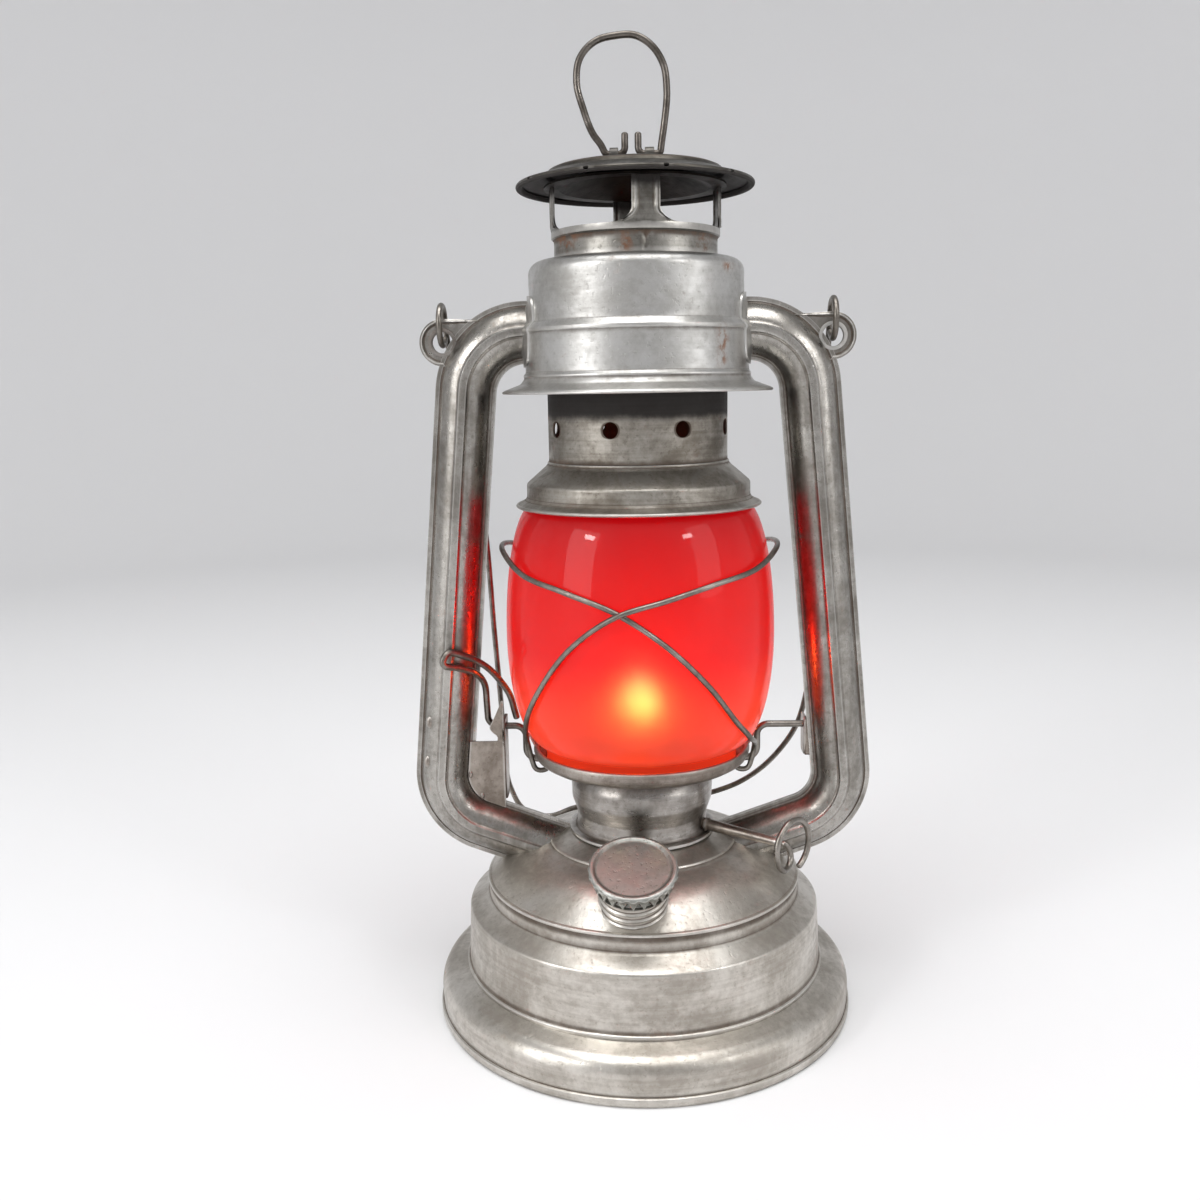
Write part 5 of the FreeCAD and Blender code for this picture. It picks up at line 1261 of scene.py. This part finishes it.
neck_outline = outline((9.4, 11.0), (9.4, -6.0), (10.0, -6.0), (10.0, 11.0, 0.2), run=0.25)
neck = shaped(turned(neck_outline, 96), thread)
cap_outline = outline(
    (0, 11.55), (10.4, 11.55), (10.95, 11.25, 0.3), (11.05, 7.35, 0.2), (12.05, 7.3, 0.15),
    (12.3, 7.8, 0.2), (12.45, 10.2, 0.4), (13.0, 10.7, 0.4), (13.32, 11.7, 0.7), (12.9, 12.66, 0.9),
    (12.0, 12.66, 0.7), (11.0, 12.1, 1.5), (0, 11.95), step=0.15, run=0.22,
)
cap = shaped(turned(cap_outline, GRIP_COUNT * 20, close=False), grip)
add("filler_neck_threaded", on_filler(neck), "lantern_frame", tank_tin, ["filler_neck"])
add("filler_cap_notched", on_filler(cap), "cap", filler_tin, ["filler_cap"])

# %% [markdown]
# ## Wick, shaft and knob
#
# The knob is one wire with a small curl inside a ring. The wick is a woven cotton strap, so it
# has a soft section, threads that show as fine ridges, and a charred top.

# %% Wick gear
SHAFT_HEIGHT, SHAFT_OFFSET = 62.5, 5.5
SHAFT_TURN = math.radians(-36.5)


def at_shaft(points):
    """From a frame along the shaft (x along it, z up) to the lantern's."""
    x, y, z = np.asarray(points, float).T
    return joined(*rotated(x, y + SHAFT_OFFSET, SHAFT_TURN), z)


shaft_chain = outline(
    (0, -5.3), (1.2, -5.3, 0.2), (1.2, 14.2, 0.1), (1.9, 14.2, 0.1), (1.9, 21.6, 0.3),
    (2.3, 22.0, 0.2), (2.3, 22.6, 0.2), (1.9, 23.2, 0.3), (1.45, 47.0, 2.0), (1.4, 50.0, 0.3), (0, 50.0),
)
points, faces = turned(shaft_chain, 28, close=False)
shaft = at_shaft(joined(points[:, 2], points[:, 1], SHAFT_HEIGHT - points[:, 0])), faces
add("shaft_with_sleeve", shaft, "wick_drive", bracket_tin, ["wick_shaft"], "burner_steel")

KNOB_RADIUS = 8.2
ring_angle = np.radians(228 - 42 * np.arange(8))
knob_points = np.vstack([
    [(-3.6, 0, 0), (-2.7, 0, 0)],
    np.array([(-0.27, 0.12, -0.16), (-0.2, 0.2, -0.5), (-0.12, -0.16, -0.86)]) * KNOB_RADIUS,
    joined(0.12 * np.cos(ring_angle), np.cos(ring_angle), np.sin(ring_angle)) * KNOB_RADIUS,
])
knob_line = through(knob_points, leave=np.array([1.0, 0, 0]), step=0.4) + [53.6, 0, SHAFT_HEIGHT]
add("knob_wire", swept(at_shaft(knob_line), 0.95), "wick_drive", bright_wire, ["wick_knob"], "wire")


def wick_surface():
    """A strap: its section is a rounded rectangle, a power-6 ellipse of 13 by 2.2, carried up to
    a ragged end."""
    angle = circle(96)
    height = np.concatenate([np.linspace(24.8, 92.0, 90), np.linspace(92.3, 96.8, 16)])[:, None]
    reach = squarish(angle, 6.5, 1.1, 6)
    closing = ramp(height - 96.2, 0.6)
    x = reach * np.cos(angle) * (1 - 0.03 * closing)
    y = reach * np.sin(angle) * (1 - 0.25 * closing) * (1 + 0.03 * np.sin(height * 5.0))
    ragged = 0.25 * np.sin(x * 3.1) * closing
    rows = joined(*rotated(x, y, SHAFT_TURN), height + ragged - 0.25 * closing)
    ends = [np.broadcast_to(rows[k].mean(axis=0), rows[k].shape) for k in (0, -1)]
    return closed(np.concatenate([ends[:1], rows, ends[1:]]))


def cotton():
    """Pale threads that stand upright, charred at the top."""
    finish = Finish("wick_cotton")
    warp = finish.noise(finish.stretched(1400.0, 1400.0, 300.0), 1.0, 2.0)
    charred = (finish.height() * 1000.0 + (warp - 0.5) * 1.2).between(93.4, 95.6)
    pale = finish.mixed(warp.between(0.3, 0.7), (0.62, 0.55, 0.44), (0.44, 0.37, 0.28))
    colour = finish.mixed(charred, pale, (0.020, 0.016, 0.014))
    finish.set(Base_Color=colour, Roughness=0.9, Normal=finish.bump(warp, 0.8, 0.0003))
    return finish.material


add("wick_strap", wick_surface(), "wick_strip", cotton(), ["wick"], "wick_cotton")

# %% [markdown]
# ## Flame
#
# The photograph's lantern is lit. The flame is a small closed teardrop over the wick, flattened
# like the wick, that gives off warm light. Through the red glass it shows as a soft orange glow,
# because it is far brighter than the glass is dark.

# %% Flame
share = np.linspace(0, 1, 40)
swell = 5.6 * np.sin(np.pi * share**0.72) ** 0.9 * (1 - 0.35 * share)
flame_chain = joined(swell, 97.2 + 15.5 * share)
flame_chain[[0, -1], 0] = 0
points, faces = turned(flame_chain, 40, close=False)
wide, thin = rotated(points[:, 0], points[:, 1], -SHAFT_TURN)
points = joined(*rotated(wide * 1.25, thin * 0.3, SHAFT_TURN), points[:, 2])
fire = Finish("flame")
colour = fire.mixed((fire.height() * 1000.0).between(97.0, 113.0), (0.80, 0.66, 0.30), (0.80, 0.78, 0.46))
fire.set(Base_Color=(0.9, 0.6, 0.3), Roughness=1.0, Emission_Color=colour, Emission_Strength=120.0)
add("flame", (points, faces), "wick_strip", fire.material, slot="wick_cotton")

# %% [markdown]
# ## Top ring, strap and rivet
#
# One wire makes the two prongs, the feet in the strap's eyes and the ring. The hat's strap is a
# plate whose ends are rolled into eyes.

# %% Ring
RING_HEIGHT = 271.412


def upright(*places):
    """Points (x, height over the ring's axis) in the plane of the ring."""
    x, height = np.array(places, float).T
    return joined(x, 0.0, RING_HEIGHT + height)


ring_points = upright(
    (-9.6, 2.0), (-12.4, 6.0), (-15.2, 13.2), (-17.0, 20.6), (-15.8, 27.6), (-11.6, 31.8),
    (-5.4, 33.4), (0.6, 33.3), (5.6, 30.2), (8.7, 25.4), (9.8, 18.0), (9.0, 8.6), (8.0, 2.0),
)
rise = np.array([-2.8, 0, 6.0]) / math.hypot(2.8, 6.0)
fall = np.array([-1.0, 0, -8.6]) / math.hypot(1.0, 8.6)
left_prong = rounded(upright((-2.9, 5.6), (-2.9, 0), (-8.67, 0), (-9.6, 2.0)), [0, 2, 2, 0], run=0.6)
right_prong = rounded(upright((8.0, 2.0), (7.77, 0), (1.1, 0), (1.1, 5.6)), [0, 2, 2, 0], run=0.6)
ring_line = np.vstack([left_prong, through(ring_points, rise, fall)[1:], right_prong[1:]])
add("hanging_ring", swept(ring_line, 1.05, 16), "ring", wire_tin, ["top_ring"], "wire")


def slab(corners, low, high, rise=0.15):
    """A flat plate from a closed (x, y) outline, with soft edges and a fan to its middle."""
    chain = rounded([*corners, corners[0]], [0, *[1.0] * (len(corners) - 1), 0], run=0.8)[:-1]
    middle = chain.mean(axis=0)
    inset = chain + (middle - chain) / np.linalg.norm(middle - chain, axis=1, keepdims=True) * rise
    fan = np.broadcast_to(middle, chain.shape)
    levels = [
        (fan, low), (inset, low), (chain, low + rise), (chain, high - rise), (inset, high), (fan, high),
    ]
    return closed(np.stack([joined(*place.T, height) for place, height in levels]))


def eye(start, end):
    """A short tube along X, rolled from the end of the strap."""
    tube = outline((1.15, start), (1.95, start, 0.2), (1.95, end, 0.2), (1.15, end))
    points, faces = turned(tube, 32)
    return joined(points[:, 2], points[:, 1], RING_HEIGHT - points[:, 0]), faces


plate_corners = [(-7.6, 0), (-7.6, -3.5), (5.9, -3.5), (5.9, 3.5), (-7.6, 3.5)]
strap = together(slab(plate_corners, 269.46, 270.26), eye(-7.5, -4.9), eye(3.1, 5.9))
add("strap_with_eyes", strap, "chimney", hat_tin, ["ring_strap"], soot=np.zeros(len(strap[0])))
rivet_chain = outline(
    (0, 267.4), (0.85, 267.4), (0.85, 270.2), (1.8, 270.2, 0.1), (1.75, 270.55, 0.3), (0, 270.75),
)
points, faces = turned(rivet_chain, 28, close=False)
add("hat_rivet", (points + [-0.9, 0, 0], faces), "chimney", bracket_tin, ["strap_rivet"])

# %% [markdown]
# ## Brackets
#
# The lever snaps over a notched plate on the left tube, and the link turns in a small angle on
# the right. Both are cut from strip, so their faces lie between two edge curves over height.

# %% Brackets
def strip_plate(left_edge, right_edge, heights, front, back):
    """A plate across X between two edges given at each height, with its sides at two y."""
    share = np.linspace(0, 1, 13)
    x = np.asarray(left_edge)[..., None] + (right_edge - left_edge)[:, None] * share
    return plate_of(*[joined(x, y, heights[:, None]) for y in (front, back)])


def flange(x_low, x_high, y_low, y_high, z_low, z_high):
    """A plate across Y with a hole for the wire: rings from the hole out to a rounded rectangle."""
    angle = circle(80)
    wide = np.where(np.cos(angle) > 0, y_high - PIVOT_Y, PIVOT_Y - y_low)
    tall = np.where(np.sin(angle) > 0, z_high - PIVOT_HEIGHT, PIVOT_HEIGHT - z_low)
    radius = washer(1.2, squarish(angle, wide, tall, 7), 7)
    y, z = PIVOT_Y + radius * np.cos(angle), PIVOT_HEIGHT + radius * np.sin(angle)
    return plate_of(*[joined(x, y, z) for x in (x_high, x_low)], around=True)


def leg_x(heights):
    """The tube's middle line at heights on its straight leg."""
    return leg_end[0] - (heights - leg_end[1]) * math.tan(LEAN)


# The bracket's edge follows the tube's run, its bend and its leg, and then a hook for the lever,
# whose points are (height, x, 0).
HOOK_FOOT, TUBE_EDGE = 88.6, 7.8
HOOK = through([
    (HOOK_FOOT, 47.5, 0), (90.2, 47.2, 0), (91.6, 48.7, 0), (93.2, 49.7, 0), (94.9, 49.0, 0),
    (97.8, 47.6, 0), (102.2, 45.7, 0),
], step=0.1)
reach = LOW_BEND - TUBE_EDGE
bend_foot = low_centre[1] - reach * math.cos(DIP)
foot = bend_foot - (low_centre[0] + reach * math.sin(DIP) - BRACKET_X) * math.tan(DIP)
heights = np.concatenate([
    np.linspace(foot, HOOK_FOOT, 40), [88.62, 89.2, 90.0, 90.8], np.linspace(91.0, 94.1, 14),
    np.linspace(94.4, 102.2, 24),
])
on_bend = low_centre[0] + chord(reach, heights - low_centre[1])
edge = np.where(heights < bend_foot, BRACKET_X + (heights - foot) / math.tan(DIP), on_bend)
on_leg = leg_x(heights) - TUBE_EDGE / math.cos(LEAN)
edge = np.where(heights > low_centre[1] + reach * math.sin(LEAN), on_leg, edge)
edge = np.where(heights > HOOK_FOOT + 0.01, np.interp(heights, HOOK[:, 0], HOOK[:, 1]), edge)
notched = together(
    strip_plate(45.1, edge, heights, -1.4, -0.6),
    flange(44.7, BRACKET_X, -1.4, 8.0, foot + 2.3, 95.8),
)
heights = np.linspace(82.65, 95.65, 24)
small = together(
    strip_plate(53.6, leg_x(heights) - 7.5, heights, 0.62, 1.42),
    flange(53.2, 54.0, 0.6, 8.0, 82.65, 95.65),
)
for name, surface, node in (
    ("notched_bracket", mirrored(notched, -1), "lever_bracket"), ("link_bracket", small, "hinge_bracket"),
):
    piece = add(name, surface, "lantern_frame", bracket_tin, [node])
    rounding = piece.modifiers.new("rounding", "BEVEL")
    rounding.width, rounding.segments = 0.00018, 2
    rounding.limit_method, rounding.angle_limit = "ANGLE", math.radians(50)


def button(x, y, z, radius, height):
    """A low round head that faces -Y: radius cos t and height sin t, flattened to an oval."""
    t = np.linspace(0, np.pi / 2, 8)
    chain = np.vstack([(0, -0.3), (radius, -0.3), joined(np.cos(t) * radius, np.sin(t) * height)])
    points, faces = turned(chain, 24, close=False)
    return joined(x + points[:, 0] * 0.8, y - points[:, 2], z + points[:, 1] * 1.25), faces


rivet_turns = [0, math.radians(52)]
heads = [
    button(-low_centre[0] - math.cos(a) * 9.45, -1.4, low_centre[1] - math.sin(a) * 9.45, 0.9, 0.6)
    for a in rivet_turns
]
heads += [button(-leg_x(z) - 5.2 / math.cos(LEAN), -5.3, z, 1.6, 1.0) for z in (96.5, 83.2)]
add("bracket_heads", together(*heads), "lantern_frame", bracket_tin, ["bracket_rivets"])

# %% [markdown]
# ## Spring
#
# The chimney's spring is hidden in the air chamber. The real one presses together as the
# chimney lifts; here it is one coil at rest, with a mesh of its own.

# %% Spring
SPRING_FOOT, SPRING_TOP = 204.93, 238.98
turn = np.linspace(0, 8 * np.pi, 640)
spring_line = spun(turn, 27.3, SPRING_FOOT + (SPRING_TOP - SPRING_FOOT) * turn / turn[-1])
coil = swept(spring_line, 0.6, 12)
spring = add("lift_spring", coil, "lantern_frame", wire_tin, ["chimney_spring"], "wire")
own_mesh(spring)

# %% [markdown]
# ## Red glass
#
# The globe is deep red and a little milky: most light scatters in it, and only something as
# bright as the flame shows through. So the finish is rough transmission for the flame, with a
# red glow of its own that stands for light scattered inside the wall. Colour and glow are also
# painted orange and brighter towards the bottom, as the flame's light thrown back from the
# burner and plate, and darker at the top as painted shade.

# %% Glass
glass = Finish("red_glass")
millimetres = glass.height() * 1000.0
milky = glass.noise(glass.place, 60.0, 5.0, 0.6)
grit = glass.noise(glass.place, 700.0, 3.0, 0.6)
# Painted light: colour and glow turn orange and brighter towards the bottom, for the flame's light thrown
# back from the burner and plate, and darker at the top as painted shade.
low, top = millimetres.between(126.0, 100.0), millimetres.between(140.0, 170.0)
tint_with_painted_light = glass.mixed(low, (0.60, 0.012, 0.008), (0.78, 0.105, 0.040))
tint_with_painted_light = glass.mixed(top, tint_with_painted_light, (0.50, 0.008, 0.010))
glow = glass.mixed(low * 0.7 + milky * 0.15, (0.80, 0.002, 0.008), (0.98, 0.090, 0.030))
glow = glass.mixed(top * 0.8, glow, (0.36, 0.001, 0.010))
glass.set(
    Base_Color=tint_with_painted_light, Roughness=milky * 0.10 + grit * 0.08 + 0.40, Transmission_Weight=0.85, IOR=1.25,
    Emission_Color=glow, Emission_Strength=0.24, Coat_Weight=0.35, Coat_Roughness=0.03,
    Specular_IOR_Level=0.05, Normal=glass.bump(milky * 1.2 + grit * 0.12, 0.12, 0.0006),
)
add("globe_glass", globe, "globe_carriage", glass.material, ["globe"], "red_glass", sharp=60)

# %% [markdown]
# ## What stays as the CAD made it
#
# Pieces inside the lantern keep their solids, whose shapes are right, and take a finish.

# %% Inner pieces
hidden = {name: burner_tin for name in ("burner_body", "wick_tube", "burner_cone", "wick_wheels")}
hidden.update(tank_bottom=tank_tin, air_deck=tank_tin, hat_baffle=sooty_tin)
cork = Finish("cork_gasket")
grain = cork.noise(cork.place, 500.0, 4.0, 0.7)
colour = cork.mixed(grain.between(0.35, 0.65), (0.20, 0.12, 0.07), (0.10, 0.06, 0.04))
cork.set(Base_Color=colour, Roughness=0.85, Normal=cork.bump(grain, 0.4))
hidden["filler_gasket"] = cork.material
for name, material in hidden.items():
    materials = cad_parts[name].data.materials
    materials.clear()
    materials.append(material)
print("inner pieces", len(hidden))

# %% [markdown]
# ## Floor, backdrop and light
#
# A plain pale studio: a round floor that curves up into a wall on every side, a soft grey world
# over it, large soft lights and two small ones in front. Metal shows what surrounds it, so these
# surfaces make its highlights, and the view is as plain from behind as from the front.

# %% Studio
cove = rounded([(0.001, 0.0), (1.8, 0.0), (1.8, 2.0)], [0, 0.7, 0], step=0.05, run=0.3)
points, faces = turned(cove * 1000, 96, close=False)
mesh = bpy.data.meshes.new("studio_sheet")
mesh.from_pydata((points / 1000).tolist(), [], [list(dict.fromkeys(face)) for face in faces.tolist()])
mesh.shade_smooth()
studio = bpy.data.objects.new("studio_sheet", mesh)
bpy.context.scene.collection.objects.link(studio)
paper = Finish("paper")
paper.set(Base_Color=tone(230, 230, 231), Roughness=0.9, Specular_IOR_Level=0.1)
mesh.materials.append(paper.material)

world = bpy.data.worlds.new("studio")
bpy.context.scene.world = world
world.use_nodes = True
background = world.node_tree.nodes["Background"].inputs
background["Color"].default_value = (1, 1, 1, 1)
background["Strength"].default_value = 0.38


def softbox(name, place, target, width, height, power):
    """A rectangular light at a place, turned to a target, with its width level."""
    light = bpy.data.lights.new(name, "AREA")
    light.shape = "RECTANGLE"
    light.size, light.size_y, light.energy = width, height, power
    lamp = bpy.data.objects.new(name, light)
    place, target = np.array(place, float), np.array(target, float)
    back = (place - target) / np.linalg.norm(place - target)
    side = np.cross([0, 0, 1.0], back)
    side /= np.linalg.norm(side)
    lamp.matrix_world = matrix_of(side, np.cross(back, side), back, place)
    bpy.context.scene.collection.objects.link(lamp)


softbox("left_box", (-1.15, -0.85, 0.55), (0, 0, 0.13), 0.7, 1.0, 6.0)
softbox("right_box", (1.2, -0.65, 0.6), (0, 0, 0.13), 0.6, 1.0, 3.0)
softbox("top_box", (0.0, -0.25, 1.25), (0, 0, 0.1), 1.1, 0.9, 12.0)
softbox("left_lamp", (-0.82, -0.74, 0.74), (0, 0, 0.13), 0.20, 0.09, 1.9)
softbox("right_lamp", (0.80, -0.74, 0.74), (0, 0, 0.13), 0.18, 0.09, 1.3)
bpy.context.scene.view_settings.view_transform = "Standard"
print("studio ready")
